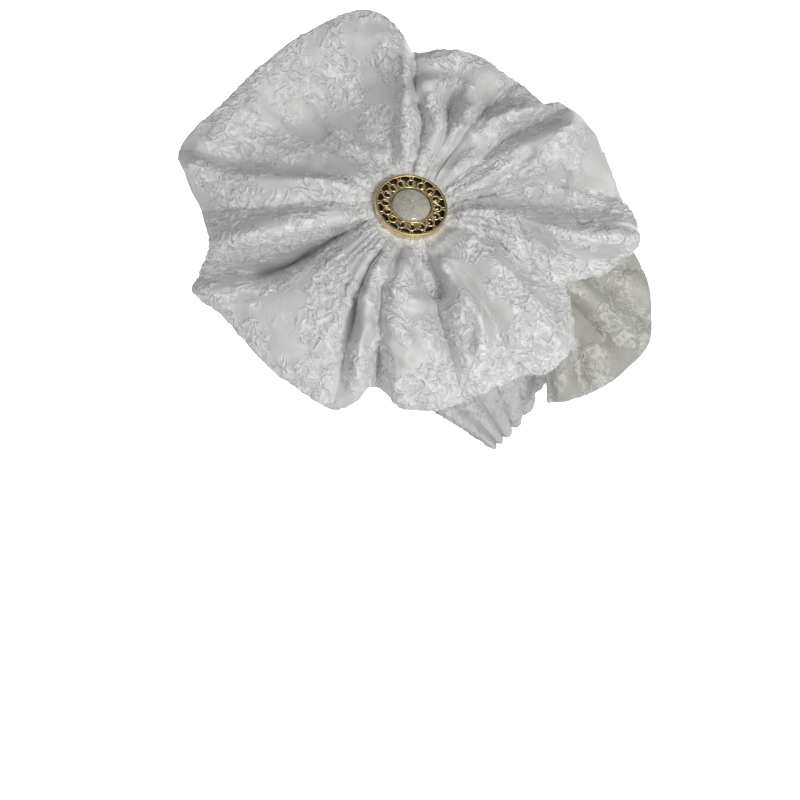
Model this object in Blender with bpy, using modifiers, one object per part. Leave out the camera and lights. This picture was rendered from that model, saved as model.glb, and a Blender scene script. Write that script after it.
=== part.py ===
"""Turban bonnet: a pleated cap with a large gathered cloth flower, a rear ruffle and a round brooch.

Frame: the face looks along -Y, the wearer's left, where the flower sits, is +X, and +Z is up.
The origin is the centre of the head opening. Everything is in metres.
"""

import math
from collections import namedtuple

import bmesh
import bpy
import numpy as np
from mathutils import Matrix

# Cap: an egg round a head of about 57 cm, cut off at its rim
CAP_WIDTH = 0.152
CAP_LENGTH = 0.174
CAP_HEIGHT = 0.188
CAP_WALL = 0.0022
PLEAT_RISE = 0.0042
HEM_RISE = 0.0062
# A pleat's height over the forehead as a share of its height at the nape, and how full its section is
FRONT_PLEAT = 0.55
PLEAT_FULLNESS = 0.8

# The pleats fan out from a line behind the nape, placed by shares of the cap's half length and height
NAPE_LINE_BACK = 0.855
NAPE_LINE_DOWN = 1.005
RIM_DEG = 33.5
PLEAT_EDGES_DEG = (40.0, 52.5, 66.0, 80.0, 92.0)

# Flower: doubled cloth gathered round a hub on the wearer's left
FLOWER_RADIUS = 0.130
FLOWER_CLOTH = 0.0026
SEAT_ELEVATION_DEG = 32.0
HUB_HEIGHT = 0.0080
HUB_FOOT_RADIUS = 0.0160

# Brooch: a shallow dish with scroll rings round a cabochon
BROOCH_RADIUS = 0.0218
BROOCH_HEIGHT = 0.0052
BROOCH_FLOOR = 0.0012
BROOCH_RIM = 0.0015
BROOCH_ELEVATION_DEG = 30.0
BROOCH_TURN_DEG = 12.0
SCROLL_DROP = 0.0008
SCROLL_HOLE = 0.0011
BEZEL_WALL = 0.0009
STONE_RADIUS = 0.0118
STONE_DOME = 0.0046
STONE_GIRDLE = 0.0016
POST_RADIUS = 0.0020
SCROLLS = 16
SCROLL_RADIUS = 0.0025
# The open pockets between the scrolls and the rim, and how far the scrolls lie nearer to the stone
GAP_RADIUS = 0.0021
GAP_SHIFT = 0.0007

# Rear ruffle: a fan of the same doubled cloth behind the head
RUFFLE_RADIUS = 0.097
RUFFLE_CLOTH = 0.0026
RUFFLE_HUB_RADIUS = 0.0080
RUFFLE_HUB_HEIGHT = 0.0060
# Where its hub sits on the egg, as shares of the half width, half length and half height
RUFFLE_SEAT = (0.62, 0.66, 0.36)

CLEARANCE = 0.0003
# Cloth that rests on the cap keeps this gap to its pleats, and comes to rest over this softness
REST_GAP = 0.0008
SOFT_REST = 0.0015

# How far the flower leans: back over the crown above its hub, outward over the ear below it
LEAN = 0.62
CROWN_CURL = 0.28
EAR_DROOP = 0.42
# How far its front and rear petals wrap in round the head
WRAP = 0.12
# Lifts in the tables are multiplied by this depth
FOLD_DEPTH = 1.5
# The rim of each cloth rolls back over this share of its reach, by this share of the radius
RIM_ROLL_FROM = 0.86
RIM_ROLL = 0.035
# Slope of the cloth on each side of a valley, against the mean slope up to the next ridge
VALLEY_SLOPE = 1.35
# The ruffle's lean: outward below its hub, in behind the head to the rear
RUFFLE_OUT = 0.05
RUFFLE_IN = 0.20
RUFFLE_ROOT_REACH = 0.04

# Mesh: samples along each cloth's folds and from its root to its rim
FOLD_STEPS = 3
FLOWER_SHARES = (0.0, 0.10, 0.21, 0.34, 0.48, 0.63, 0.77, 0.89, 1.0)
RUFFLE_SHARES = (0.0, 0.12, 0.27, 0.44, 0.62, 0.80, 0.91, 1.0)
RUFFLE_STEPS = 3
CAP_COLUMNS = 36
PLEAT_STEPS = 4
CAP_MESH = 0.008
HUB_SIDES = 24
SETTING_SIDES = 40
STONE_SIDES = 32
DOME_STEPS = 4

# Angles go from the rear through the top to the front, seen from the wearer's left.
# Reach and lift are shares of the radius, the neck's reach is the same for all.
NECK_REACH = 0.38
# Where the root and the belly lie on the way out, against the rim's 1
ROOT_KNOT = 0.17
BELLY_KNOT = 0.66
Fold = namedtuple("Fold", "neck_deg neck_lift belly_deg belly_reach belly_lift rim_deg rim_reach rim_lift")
FLOWER_FOLDS = {
    "rear crease": Fold(-20, -0.03, -26, 0.62, -0.05, -26, 0.80, -0.06),
    "rear underside": Fold(-11, 0.02, -17, 0.68, 0.01, -16, 0.96, -0.02),
    "rear lip": Fold(-3, 0.06, -9, 0.68, 0.12, -8, 1.05, 0.08),
    "rear dish": Fold(5, 0.01, 3, 0.68, -0.02, -1, 1.04, -0.01),
    "rear notch": Fold(12, -0.03, 12, 0.63, -0.04, 4, 0.98, -0.04),
    "upper rear ridge": Fold(22, 0.05, 24, 0.63, 0.10, 24, 0.93, 0.06),
    "upper rear valley": Fold(36, -0.02, 37, 0.57, -0.05, 35, 0.90, -0.03),
    "top rear ridge": Fold(49, 0.03, 46, 0.57, 0.06, 40, 0.80, 0.06),
    "top rear dish": Fold(55, 0.01, 54, 0.59, -0.04, 52, 0.80, 0.00),
    "arch right leg": Fold(60, 0.03, 60, 0.55, 0.06, 63, 0.81, 0.02),
    "arch pocket": Fold(65, 0.00, 69, 0.50, -0.06, 71, 0.81, 0.02),
    "arch left leg": Fold(72, 0.04, 80, 0.54, 0.05, 80, 0.79, 0.02),
    "top notch": Fold(82, -0.04, 87, 0.54, -0.05, 88, 0.77, -0.04),
    "top front ridge": Fold(93, 0.05, 93, 0.57, 0.07, 93, 0.86, 0.03),
    "top front shoulder": Fold(107, 0.00, 105, 0.62, 0.00, 103, 0.98, 0.03),
    "top front dish": Fold(126, -0.04, 127, 0.64, -0.09, 122, 0.98, 0.02),
    "front dish": Fold(141, -0.03, 143, 0.65, -0.08, 145, 1.00, 0.03),
    "front faint ridge": Fold(151, 0.02, 154, 0.66, 0.00, 157, 1.07, 0.04),
    "front shoulder": Fold(156, 0.00, 162, 0.68, -0.01, 164, 1.12, 0.02),
    "front top ridge": Fold(163, 0.06, 170, 0.68, 0.09, 171, 1.05, 0.05),
    "front middle valley": Fold(175, 0.04, 179, 0.66, 0.05, 180, 0.96, 0.01),
    "front lower ridge": Fold(190, 0.08, 190, 0.66, 0.12, 190, 0.92, 0.07),
    "front crease": Fold(201, -0.07, 204, 0.66, -0.12, 197, 1.00, -0.04),
    "lower front ridge": Fold(209, 0.01, 212, 0.64, 0.04, 201, 1.05, 0.03),
    "lower front belly": Fold(218, 0.04, 220, 0.62, 0.06, 213, 0.96, 0.04),
    "lower front finger": Fold(231, 0.05, 237, 0.62, 0.06, 236, 0.95, 0.05),
    "finger hollow": Fold(238, -0.04, 245, 0.62, -0.02, 249, 0.97, 0.02),
    "lower mid ridge": Fold(243, 0.05, 251, 0.62, 0.08, 255, 0.90, 0.03),
    "lower mid notch": Fold(252, 0.00, 257, 0.60, 0.01, 259, 0.81, -0.03),
    "lower mid face": Fold(264, 0.06, 264, 0.62, 0.08, 268, 0.90, 0.05),
    "lower mid shoulder": Fold(277, 0.00, 277, 0.62, 0.05, 277, 0.92, 0.05),
    "deep hollow": Fold(286, -0.10, 285, 0.56, -0.06, 285, 0.90, 0.02),
    "lower rear ridge": Fold(299, 0.06, 300, 0.62, 0.09, 294, 0.89, 0.06),
    "lower rear dent": Fold(306, 0.03, 306, 0.62, 0.04, 302, 0.90, 0.03),
    "lower rear face": Fold(315, 0.06, 315, 0.64, 0.10, 312, 0.97, 0.06),
    "lower rear corner": Fold(326, 0.06, 324, 0.62, 0.06, 320, 0.96, 0.01),
}
RUFFLE_NECK_REACH = 0.38
RUFFLE_FOLDS = {
    "top edge": Fold(8, 0.01, 4, 0.58, 0.02, 0, 0.70, 0.00),
    "first valley": Fold(-3, -0.01, -6, 0.60, -0.04, -8, 0.77, -0.04),
    "first ridge": Fold(-13, 0.02, -15, 0.62, 0.02, -17, 0.84, 0.01),
    "second valley": Fold(-22, -0.02, -25, 0.64, -0.05, -27, 0.92, -0.05),
    "second ridge": Fold(-32, 0.03, -34, 0.66, 0.05, -37, 0.96, 0.03),
    "third valley": Fold(-42, -0.02, -44, 0.66, -0.04, -47, 0.96, -0.03),
    "third ridge": Fold(-52, 0.03, -54, 0.65, 0.05, -57, 0.95, 0.03),
    "fourth valley": Fold(-62, 0.00, -64, 0.63, -0.01, -67, 0.94, 0.00),
    "lower edge": Fold(-72, 0.03, -74, 0.60, 0.04, -77, 0.91, 0.03),
}


def unit(vector):
    """The same direction with a length of one."""
    vector = np.asarray(vector, dtype=float)
    return vector / np.linalg.norm(vector)


def direction(elevation_deg, turn_deg=0.0):
    """A direction from the wearer's left, raised by its elevation and turned towards the rear."""
    elevation = math.radians(elevation_deg)
    turn = math.radians(turn_deg)
    return np.array([
        math.cos(elevation) * math.cos(turn),
        math.cos(elevation) * math.sin(turn),
        math.sin(elevation),
    ])


def plane_axes(normal):
    """Two axes of the plane across a normal: one towards the rear and one upward."""
    rearward = unit(np.array([0.0, 1.0, 0.0]) - normal[1] * normal)
    return rearward, np.cross(normal, rearward)


# The gathers start just outside the brooch, and the hub's top fills most of that ring
ROOT_RADIUS = BROOCH_RADIUS + 2 * CLEARANCE
HUB_TOP_RADIUS = ROOT_RADIUS * 0.8
POST_LENGTH = HUB_HEIGHT * 0.9

# The cap's egg is centred on its own middle first, and everything is then moved by OPENING_CENTRE
HALF = np.array([CAP_WIDTH, CAP_LENGTH, CAP_HEIGHT]) / 2
NAPE_LINE = np.array([0.0, NAPE_LINE_BACK, -NAPE_LINE_DOWN]) * HALF


def chord(plane_deg):
    """Where the pleat plane at this angle meets the egg's middle line: direction, middle and half length."""
    angle = math.radians(plane_deg)
    along = np.array([0.0, -math.cos(angle), math.sin(angle)])
    a = np.sum((along / HALF) ** 2)
    b = np.sum(along * NAPE_LINE / HALF**2)
    c = np.sum((NAPE_LINE / HALF) ** 2) - 1
    middle = -b / a
    half = math.sqrt(max(b * b - a * c, 0.0)) / a
    return along, middle, half


def last_plane_deg():
    """The angle at which a pleat plane only touches the back of the egg."""
    low, high = 90.0, 150.0
    for _ in range(60):
        middle_deg = (low + high) / 2
        if chord(middle_deg)[2] > 0:
            low = middle_deg
        else:
            high = middle_deg
    return low


OPENING_CENTRE = NAPE_LINE + chord(RIM_DEG)[0] * chord(RIM_DEG)[1]


def egg_normal(points):
    """Outward directions on the egg, for points relative to its middle."""
    slope = points / HALF**2
    return slope / np.linalg.norm(slope, axis=-1, keepdims=True)


def cap_loop(plane_deg, rise, columns):
    """One closed row of the cap: where a pleat plane cuts the egg, raised by the pleat's height there."""
    along, middle, half = chord(plane_deg)
    turn = np.linspace(0, 2 * np.pi, columns, endpoint=False)
    centre = NAPE_LINE + along * middle
    width = HALF[0] * math.sqrt(max(1 - np.sum((centre / HALF) ** 2), 0.0))
    points = centre - np.outer(np.cos(turn) * half, along)
    points[:, 0] += np.sin(turn) * width
    nape = (1 + np.cos(turn)) / 2
    height = rise * (FRONT_PLEAT + (1 - FRONT_PLEAT) * nape)
    return points + egg_normal(points) * height[:, None] - OPENING_CENTRE


def pleat_rows(steps):
    """Each row's plane angle and rise, from the rim over the pleats to the back of the head."""
    last = last_plane_deg()
    edges = (RIM_DEG, *PLEAT_EDGES_DEG, last)
    rows = []
    for number, (low, high) in enumerate(zip(edges, edges[1:])):
        top = HEM_RISE if number == 0 else PLEAT_RISE
        for step in range(steps):
            share = step / steps
            swell = math.sin(math.pi * share) ** PLEAT_FULLNESS
            if high == last:
                share = math.sin(math.pi / 2 * share)
            rows.append((low + (high - low) * share, top * swell))
    return rows


def ring_surface(rows, tip=None, closed=True):
    """Vertices and faces of rows of points, closed round each row, with a tip that ends the last row."""
    columns = len(rows[0])
    points = [tuple(point) for row in rows for point in row]
    faces = []
    steps = columns if closed else columns - 1
    for row in range(len(rows) - 1):
        for column in range(steps):
            after = (column + 1) % columns
            low, high = row * columns, (row + 1) * columns
            faces.append((low + column, low + after, high + after, high + column))
    if tip is not None:
        points.append(tuple(tip))
        last = (len(rows) - 1) * columns
        for column in range(columns):
            faces.append((last + column, last + (column + 1) % columns, len(points) - 1))
    return points, faces


def mesh_object(name, points, faces, collection):
    """A new object from vertices and faces, with consistent outward faces."""
    mesh = bpy.data.meshes.new(name)
    mesh.from_pydata([tuple(point) for point in points], [], faces)
    shape = bmesh.new()
    shape.from_mesh(mesh)
    bmesh.ops.recalc_face_normals(shape, faces=shape.faces)
    shape.to_mesh(mesh)
    shape.free()
    item = bpy.data.objects.new(name, mesh)
    collection.objects.link(item)
    return item


def thicken(item, thickness, offset):
    """Gives an open surface its wall: offset -1 inward, 1 outward."""
    wall = item.modifiers.new("wall", "SOLIDIFY")
    wall.thickness = thickness
    wall.offset = offset
    wall.use_even_offset = False


def between_folds(values, steps, wrap=None, valley=0.0):
    """Samples a column of the fold table: level over each ridge, and into each valley with the given slope.

    A closed cloth gives wrap, which is what its values grow by in one round: 360 for angles, else 0.
    """
    values = np.asarray(values, dtype=float)
    if wrap is not None:
        values = np.concatenate([values[-1:] - wrap, values, values[:2] + wrap])
    rise = np.diff(values)
    before, after = rise[:-1], rise[1:]
    same_way = before * after > 0
    even = np.where(same_way, 2 * before * after / np.where(same_way, before + after, 1), 0)
    bottom = (before < 0) & (after > 0)
    leave = np.pad(np.where(bottom, valley * after, even), 1)
    arrive = np.pad(np.where(bottom, valley * before, even), 1)
    t = np.arange(steps) / steps
    ease = 3 * t**2 - 2 * t**3
    samples = (
        np.outer(values[:-1], 1 - ease)
        + np.outer(values[1:], ease)
        + np.outer(leave[:-1], t**3 - 2 * t**2 + t)
        + np.outer(arrive[1:], t**3 - t**2)
    )
    if wrap is not None:
        return samples[1:-1].ravel()
    return np.append(samples.ravel(), values[-1])


def through_sections(knots, sections, shares):
    """Smooth rows through the sections of a cloth, one row for each share of the way from root to rim."""
    gaps = np.diff(knots)
    runs = [(after - before) / gap for before, after, gap in zip(sections, sections[1:], gaps)]
    slopes = [runs[0]]
    for before, after, near, far in zip(runs, runs[1:], gaps, gaps[1:]):
        slopes.append((before * far + after * near) / (near + far))
    slopes.append(runs[-1])
    rows = []
    for share in shares:
        at = knots[0] + share * (knots[-1] - knots[0])
        i = min(int(np.searchsorted(knots, at, side="right")) - 1, len(gaps) - 1)
        t = (at - knots[i]) / gaps[i]
        ease = 3 * t**2 - 2 * t**3
        rows.append(
            sections[i] * (1 - ease)
            + sections[i + 1] * ease
            + slopes[i] * gaps[i] * (t**3 - 2 * t**2 + t)
            + slopes[i + 1] * gaps[i] * (t**3 - t**2)
        )
    return rows


def gathered_rows(folds, steps, shares, place, root_row, neck_reach, closed):
    """Rows of a gathered cloth: out from its root row through the neck, belly and rim of every fold."""
    table = np.array([tuple(fold) for fold in folds.values()], dtype=float)
    neck_deg, neck_lift, belly_deg, belly_reach, belly_lift, rim_deg, rim_reach, rim_lift = table.T
    round_deg, same = (360.0, 0.0) if closed else (None, None)
    sections = []
    for deg, reach, lift in (
        (neck_deg, np.full(len(table), neck_reach), neck_lift),
        (belly_deg, belly_reach, belly_lift),
        (rim_deg, rim_reach, rim_lift),
    ):
        sections.append((
            np.radians(between_folds(deg, steps, round_deg)),
            between_folds(reach, steps, same),
            between_folds(lift, steps, same, VALLEY_SLOPE),
        ))
    root = root_row(sections[0][0])
    knots = (ROOT_KNOT, neck_reach, BELLY_KNOT, 1.0)
    rows = through_sections(knots, [root] + [place(*section) for section in sections], shares)
    for share, row in zip(shares, rows):
        over = max(share - RIM_ROLL_FROM, 0.0) / (1 - RIM_ROLL_FROM)
        row[:, 0] -= RIM_ROLL * over**2 * place.radius
    return rows


def clear_of_cap(points, cloth):
    """Moves points outward where the cloth would sink into the cap, so that it rests on the pleats there."""
    room = HALF + PLEAT_RISE + cloth + REST_GAP
    offset = (points + OPENING_CENTRE) / room
    side = np.sqrt(np.clip(1 - offset[:, 1] ** 2 - offset[:, 2] ** 2, 0, 1)) * room[0]
    across = offset[:, 0] * room[0]
    moved = points.copy()
    moved[:, 0] += (side - across + np.sqrt((side - across) ** 2 + SOFT_REST**2)) / 2
    return moved


class FlowerPlace:
    """Places points of the flower: angle, reach and lift about its seat, with the lean of its cloth."""

    radius = FLOWER_RADIUS

    def __init__(self, seat, normal):
        self.seat = seat
        self.turn = normal[1] / normal[0]

    def __call__(self, angle, reach, lift):
        back = reach * np.cos(angle)
        up = reach * np.sin(angle)
        curl = np.where(up > 0, CROWN_CURL, EAR_DROOP)
        turn = self.turn * back * np.clip(1 - np.abs(back), 0, 1) ** 2
        lean = curl * up * np.abs(up) - LEAN * up - turn - WRAP * back**2
        points = self.seat + self.radius * np.stack([FOLD_DEPTH * lift + lean, back, up], axis=1)
        return clear_of_cap(points, FLOWER_CLOTH)


class RufflePlace:
    """Places points of the rear ruffle about its seat: outward below, and in behind the head to the rear."""

    radius = RUFFLE_RADIUS

    def __init__(self, seat):
        self.seat = seat

    def __call__(self, angle, reach, lift):
        back = reach * np.cos(angle)
        up = reach * np.sin(angle)
        lean = -RUFFLE_OUT * up - RUFFLE_IN * back**2
        points = self.seat + self.radius * np.stack([FOLD_DEPTH * lift + lean, back, up], axis=1)
        return clear_of_cap(points, RUFFLE_CLOTH)


def egg_point(normal):
    """The point of the cap's egg that faces along a normal."""
    return HALF**2 * normal / np.linalg.norm(HALF * normal) - OPENING_CENTRE


def seat_on_cap(point, normal, foot_radius, cap_points):
    """The foot of a hub on the cap: clear of the highest pleat under it."""
    offset = cap_points - point
    height = offset @ normal
    across = np.linalg.norm(offset - np.outer(height, normal), axis=1)
    under = across < foot_radius + CAP_MESH
    return point + normal * (np.max(height[under]) + CLEARANCE)


def circle(centre, normal, radius, sides):
    """Points round a centre, across a normal."""
    rearward, upward = plane_axes(normal)
    angle = np.linspace(0, 2 * np.pi, sides, endpoint=False)
    return centre + radius * (np.outer(np.cos(angle), rearward) + np.outer(np.sin(angle), upward))


def hub_body(name, foot, foot_normal, foot_radius, top, top_normal, top_radius, collection):
    """The bunched cloth between a foot on the cap and the gathered centre."""
    low = circle(foot, foot_normal, foot_radius, HUB_SIDES)
    high = circle(top, top_normal, top_radius, HUB_SIDES)
    points, faces = ring_surface([low, high])
    faces.append(tuple(reversed(range(HUB_SIDES))))
    faces.append(tuple(range(HUB_SIDES, 2 * HUB_SIDES)))
    return mesh_object(name, points, faces, collection)


def boolean(item, operand, operation, solver="EXACT"):
    """Joins an operand to an item or cuts it away."""
    change = item.modifiers.new(operation.lower(), "BOOLEAN")
    change.operation = operation
    change.solver = solver
    change.object = operand


def guide(item):
    """Marks an operand, which is not a part."""
    item.hide_render = True
    item.display_type = "WIRE"


def principled(name, color, roughness, metallic=0.0):
    """A plain material."""
    material = bpy.data.materials.new(name)
    material.use_nodes = True
    shader = material.node_tree.nodes["Principled BSDF"]
    shader.inputs["Base Color"].default_value = (*color, 1.0)
    shader.inputs["Roughness"].default_value = roughness
    shader.inputs["Metallic"].default_value = metallic
    return material


def finish(item, material, smooth_deg=50.0):
    """Gives an item its material and smooth shading up to an edge angle."""
    item.data.materials.append(material)
    item.data.shade_smooth()
    item.data.set_sharp_from_angle(angle=math.radians(smooth_deg))


def make_cap(parts, material):
    """The pleated cap: an open shell from its hem to the back of the head."""
    rows = [cap_loop(plane_deg, rise, CAP_COLUMNS) for plane_deg, rise in pleat_rows(PLEAT_STEPS)]
    tip = cap_loop(last_plane_deg(), 0.0, 4).mean(axis=0)
    points, faces = ring_surface(rows, tip)
    cap = mesh_object("cap", points, faces, parts)
    thicken(cap, CAP_WALL, -1)
    finish(cap, material)
    return np.array(points)


def make_flower(parts, guides, material, seat, foot):
    """The gathered flower: one doubled cloth round a hub, with the hole for the brooch's post."""
    brooch_normal = direction(BROOCH_ELEVATION_DEG, BROOCH_TURN_DEG)
    place = FlowerPlace(seat, brooch_normal)
    rearward, upward = plane_axes(brooch_normal)

    def root_row(neck_angle):
        even = neck_angle[0] + np.linspace(0, 2 * np.pi, len(neck_angle), endpoint=False)
        angle = (even + neck_angle) / 2
        return seat + ROOT_RADIUS * (np.outer(np.cos(angle), rearward) + np.outer(np.sin(angle), upward))

    rows = gathered_rows(FLOWER_FOLDS, FOLD_STEPS, FLOWER_SHARES, place, root_row, NECK_REACH, True)
    points, faces = ring_surface(rows[::-1], seat)
    flower = mesh_object("flower", points, faces, parts)
    outward(flower, brooch_normal)
    thicken(flower, FLOWER_CLOTH, -1)
    hub = hub_body(
        "flower_hub", foot, direction(SEAT_ELEVATION_DEG), HUB_FOOT_RADIUS,
        seat - brooch_normal * FLOWER_CLOTH / 2, brooch_normal, HUB_TOP_RADIUS, guides,
    )
    guide(hub)
    boolean(flower, hub, "UNION")
    hole = rod("post_hole", seat, brooch_normal, POST_RADIUS + CLEARANCE, -2 * HUB_HEIGHT, HUB_HEIGHT, guides)
    guide(hole)
    boolean(flower, hole, "DIFFERENCE")
    finish(flower, material)


def outward(item, towards):
    """Turns an open surface so that its centre face looks along a direction."""
    mesh = item.data
    mesh.update()
    total = sum((np.array(face.normal) * face.area for face in mesh.polygons), np.zeros(3))
    if total @ towards < 0:
        mesh.flip_normals()


def rod(name, base, axis, radius, low, high, collection, sides=12):
    """A plain round rod along an axis, from low to high."""
    points, faces = ring_surface([
        circle(base + axis * low, axis, radius, sides),
        circle(base + axis * high, axis, radius, sides),
    ])
    faces.append(tuple(reversed(range(sides))))
    faces.append(tuple(range(sides, 2 * sides)))
    return mesh_object(name, points, faces, collection)


def make_ruffle(parts, guides, material, cap_points):
    """The rear ruffle: a fan of doubled cloth that leaves its own hub on the cap."""
    point = HALF * unit(RUFFLE_SEAT)
    normal = egg_normal(point)
    foot = seat_on_cap(point - OPENING_CENTRE, normal, RUFFLE_HUB_RADIUS, cap_points)
    seat = foot + normal * RUFFLE_HUB_HEIGHT
    place = RufflePlace(seat)

    def root_row(neck_angle):
        reach = np.full(len(neck_angle), RUFFLE_ROOT_REACH)
        return place(neck_angle, reach, np.zeros(len(neck_angle)))

    rows = gathered_rows(
        RUFFLE_FOLDS, RUFFLE_STEPS, RUFFLE_SHARES, place, root_row, RUFFLE_NECK_REACH, False,
    )
    points, faces = ring_surface(rows[::-1], closed=False)
    ruffle = mesh_object("rear_ruffle", points, faces, parts)
    outward(ruffle, np.array([1.0, 0.0, 0.0]))
    thicken(ruffle, RUFFLE_CLOTH, -1)
    hub = hub_body(
        "ruffle_hub", foot, normal, RUFFLE_HUB_RADIUS,
        seat, normal, RUFFLE_HUB_RADIUS, guides,
    )
    guide(hub)
    boolean(ruffle, hub, "UNION", "MANIFOLD")
    finish(ruffle, material)


def turned(name, profile, sides, collection):
    """A turned body from its profile, listed from the top of its outer side down to its axis."""
    mesh = bpy.data.meshes.new(name)
    mesh.from_pydata([(r, 0.0, z) for r, z in profile], [(i, i + 1) for i in range(len(profile) - 1)], [])
    item = bpy.data.objects.new(name, mesh)
    collection.objects.link(item)
    screw = item.modifiers.new("turn", "SCREW")
    screw.steps = screw.render_steps = sides
    screw.use_merge_vertices = True
    screw.merge_threshold = 0.00001
    return item


def pegs(name, radius, sides, at_radius, turn_deg, low, high, collection):
    """A ring of equal upright prisms, one for each scroll."""
    shape = bmesh.new()
    for number in range(SCROLLS):
        angle = 2 * math.pi * number / SCROLLS + math.radians(turn_deg)
        place = Matrix.Rotation(angle, 4, "Z") @ Matrix.Translation((at_radius, 0.0, (low + high) / 2))
        bmesh.ops.create_cone(
            shape, cap_ends=True, segments=sides, radius1=radius, radius2=radius,
            depth=high - low, matrix=place,
        )
    mesh = bpy.data.meshes.new(name)
    shape.to_mesh(mesh)
    shape.free()
    item = bpy.data.objects.new(name, mesh)
    collection.objects.link(item)
    guide(item)
    return item


def make_brooch(parts, guides, gold, stone_material, frame):
    """The brooch: its setting with scroll rings and open pockets, its cabochon, and its post."""
    pocket = STONE_RADIUS + CLEARANCE
    bezel = pocket + BEZEL_WALL
    inner = BROOCH_RADIUS - BROOCH_RIM
    scroll_top = BROOCH_HEIGHT - SCROLL_DROP
    web_top = scroll_top - SCROLL_DROP
    middle = (bezel + inner) / 2 - GAP_SHIFT
    setting = turned("brooch_setting", [
        (0.0, BROOCH_FLOOR), (pocket, BROOCH_FLOOR), (pocket, BROOCH_HEIGHT), (bezel, BROOCH_HEIGHT),
        (bezel, web_top), (inner, web_top), (inner, BROOCH_HEIGHT), (BROOCH_RADIUS, BROOCH_HEIGHT),
        (BROOCH_RADIUS, 0.0), (0.0, 0.0),
    ], SETTING_SIDES, parts)
    rings = pegs("scroll_rings", SCROLL_RADIUS, 10, middle, 0.0, BROOCH_FLOOR / 2, scroll_top, guides)
    holes = pegs("scroll_holes", SCROLL_HOLE, 8, middle, 0.0, BROOCH_FLOOR, BROOCH_HEIGHT, guides)
    gaps = pegs(
        "gaps", GAP_RADIUS, 3, inner - GAP_RADIUS / 2 - CLEARANCE, 180 / SCROLLS,
        BROOCH_FLOOR, BROOCH_HEIGHT, guides,
    )
    boolean(setting, rings, "UNION")
    boolean(setting, holes, "DIFFERENCE")
    boolean(setting, gaps, "DIFFERENCE")
    base = BROOCH_FLOOR + CLEARANCE
    girdle = base + STONE_GIRDLE
    dome = []
    for step in range(DOME_STEPS + 1):
        angle = math.pi / 2 * (1 - step / DOME_STEPS)
        dome.append((STONE_RADIUS * math.cos(angle), girdle + STONE_DOME * math.sin(angle)))
    dome[0] = (0.0, girdle + STONE_DOME)
    stone = turned("brooch_stone", dome + [(STONE_RADIUS, base), (0.0, base)], STONE_SIDES, parts)
    post = rod(
        "brooch_post", np.zeros(3), np.array([0.0, 0.0, 1.0]), POST_RADIUS,
        -POST_LENGTH - CLEARANCE, -CLEARANCE, parts,
    )
    for item in (setting, stone, post, rings, holes, gaps):
        item.parent = frame
    finish(setting, gold)
    finish(stone, stone_material)
    finish(post, gold)


def make_turban():
    """Clears the scene and builds every part."""
    for item in list(bpy.data.objects):
        bpy.data.objects.remove(item, do_unlink=True)
    parts = bpy.data.collections.new("turban_bonnet")
    guides = bpy.data.collections.new("guides")
    bpy.context.scene.collection.children.link(parts)
    bpy.context.scene.collection.children.link(guides)
    white = principled("white crinkle cloth", (0.86, 0.86, 0.84), 0.8)
    gold = principled("antique gold", (0.55, 0.41, 0.17), 0.35, 1.0)
    milky = principled("milky stone", (0.72, 0.70, 0.66), 0.15)

    cap_points = make_cap(parts, white)
    seat_normal = direction(SEAT_ELEVATION_DEG)
    foot = seat_on_cap(egg_point(seat_normal), seat_normal, HUB_FOOT_RADIUS, cap_points)
    seat = foot + seat_normal * HUB_HEIGHT
    make_flower(parts, guides, white, seat, foot)
    make_ruffle(parts, guides, white, cap_points)

    brooch_normal = direction(BROOCH_ELEVATION_DEG, BROOCH_TURN_DEG)
    rearward, upward = plane_axes(brooch_normal)
    frame = bpy.data.objects.new("brooch_frame", None)
    parts.objects.link(frame)
    axes = Matrix([rearward, upward, brooch_normal]).transposed().to_4x4()
    frame.matrix_world = Matrix.Translation(seat + brooch_normal * CLEARANCE) @ axes
    make_brooch(parts, guides, gold, milky, frame)


make_turban()
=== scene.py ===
"""Looks of the turban bonnet: crinkled white cloth, an antique gold brooch and a milky stone."""

import math
from collections import namedtuple

import bmesh
import bpy
import numpy as np
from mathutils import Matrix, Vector


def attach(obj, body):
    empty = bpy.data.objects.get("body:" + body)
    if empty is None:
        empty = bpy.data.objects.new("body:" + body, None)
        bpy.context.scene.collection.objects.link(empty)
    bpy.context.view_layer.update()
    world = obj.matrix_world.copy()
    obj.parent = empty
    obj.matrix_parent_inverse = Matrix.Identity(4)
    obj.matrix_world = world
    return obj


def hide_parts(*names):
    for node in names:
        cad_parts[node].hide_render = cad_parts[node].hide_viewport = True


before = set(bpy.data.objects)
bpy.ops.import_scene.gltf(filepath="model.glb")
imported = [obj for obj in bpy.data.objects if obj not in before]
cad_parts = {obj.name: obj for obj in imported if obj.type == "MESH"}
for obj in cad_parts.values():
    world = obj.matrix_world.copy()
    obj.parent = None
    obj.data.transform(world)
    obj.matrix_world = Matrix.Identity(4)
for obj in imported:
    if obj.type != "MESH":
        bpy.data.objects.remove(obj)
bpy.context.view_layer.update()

# Driving sizes, as in the model's source
CAP_WIDTH = 0.152
CAP_LENGTH = 0.174
CAP_HEIGHT = 0.188
CAP_WALL = 0.0022
PLEAT_RISE = 0.0042
HEM_RISE = 0.0062
NAPE_LINE_BACK = 0.855
NAPE_LINE_DOWN = 1.005
RIM_DEG = 33.5
PLEAT_EDGES_DEG = (40.0, 52.5, 66.0, 80.0, 92.0)
FLOWER_RADIUS = 0.130
FLOWER_CLOTH = 0.0026
SEAT_ELEVATION_DEG = 32.0
HUB_HEIGHT = 0.008
HUB_FOOT_RADIUS = 0.016
BROOCH_RADIUS = 0.0218
BROOCH_HEIGHT = 0.0052
BROOCH_FLOOR = 0.0012
BROOCH_RIM = 0.0015
BROOCH_ELEVATION_DEG = 30.0
BROOCH_TURN_DEG = 12.0
STONE_RADIUS = 0.0118
STONE_GIRDLE = 0.0016
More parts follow.
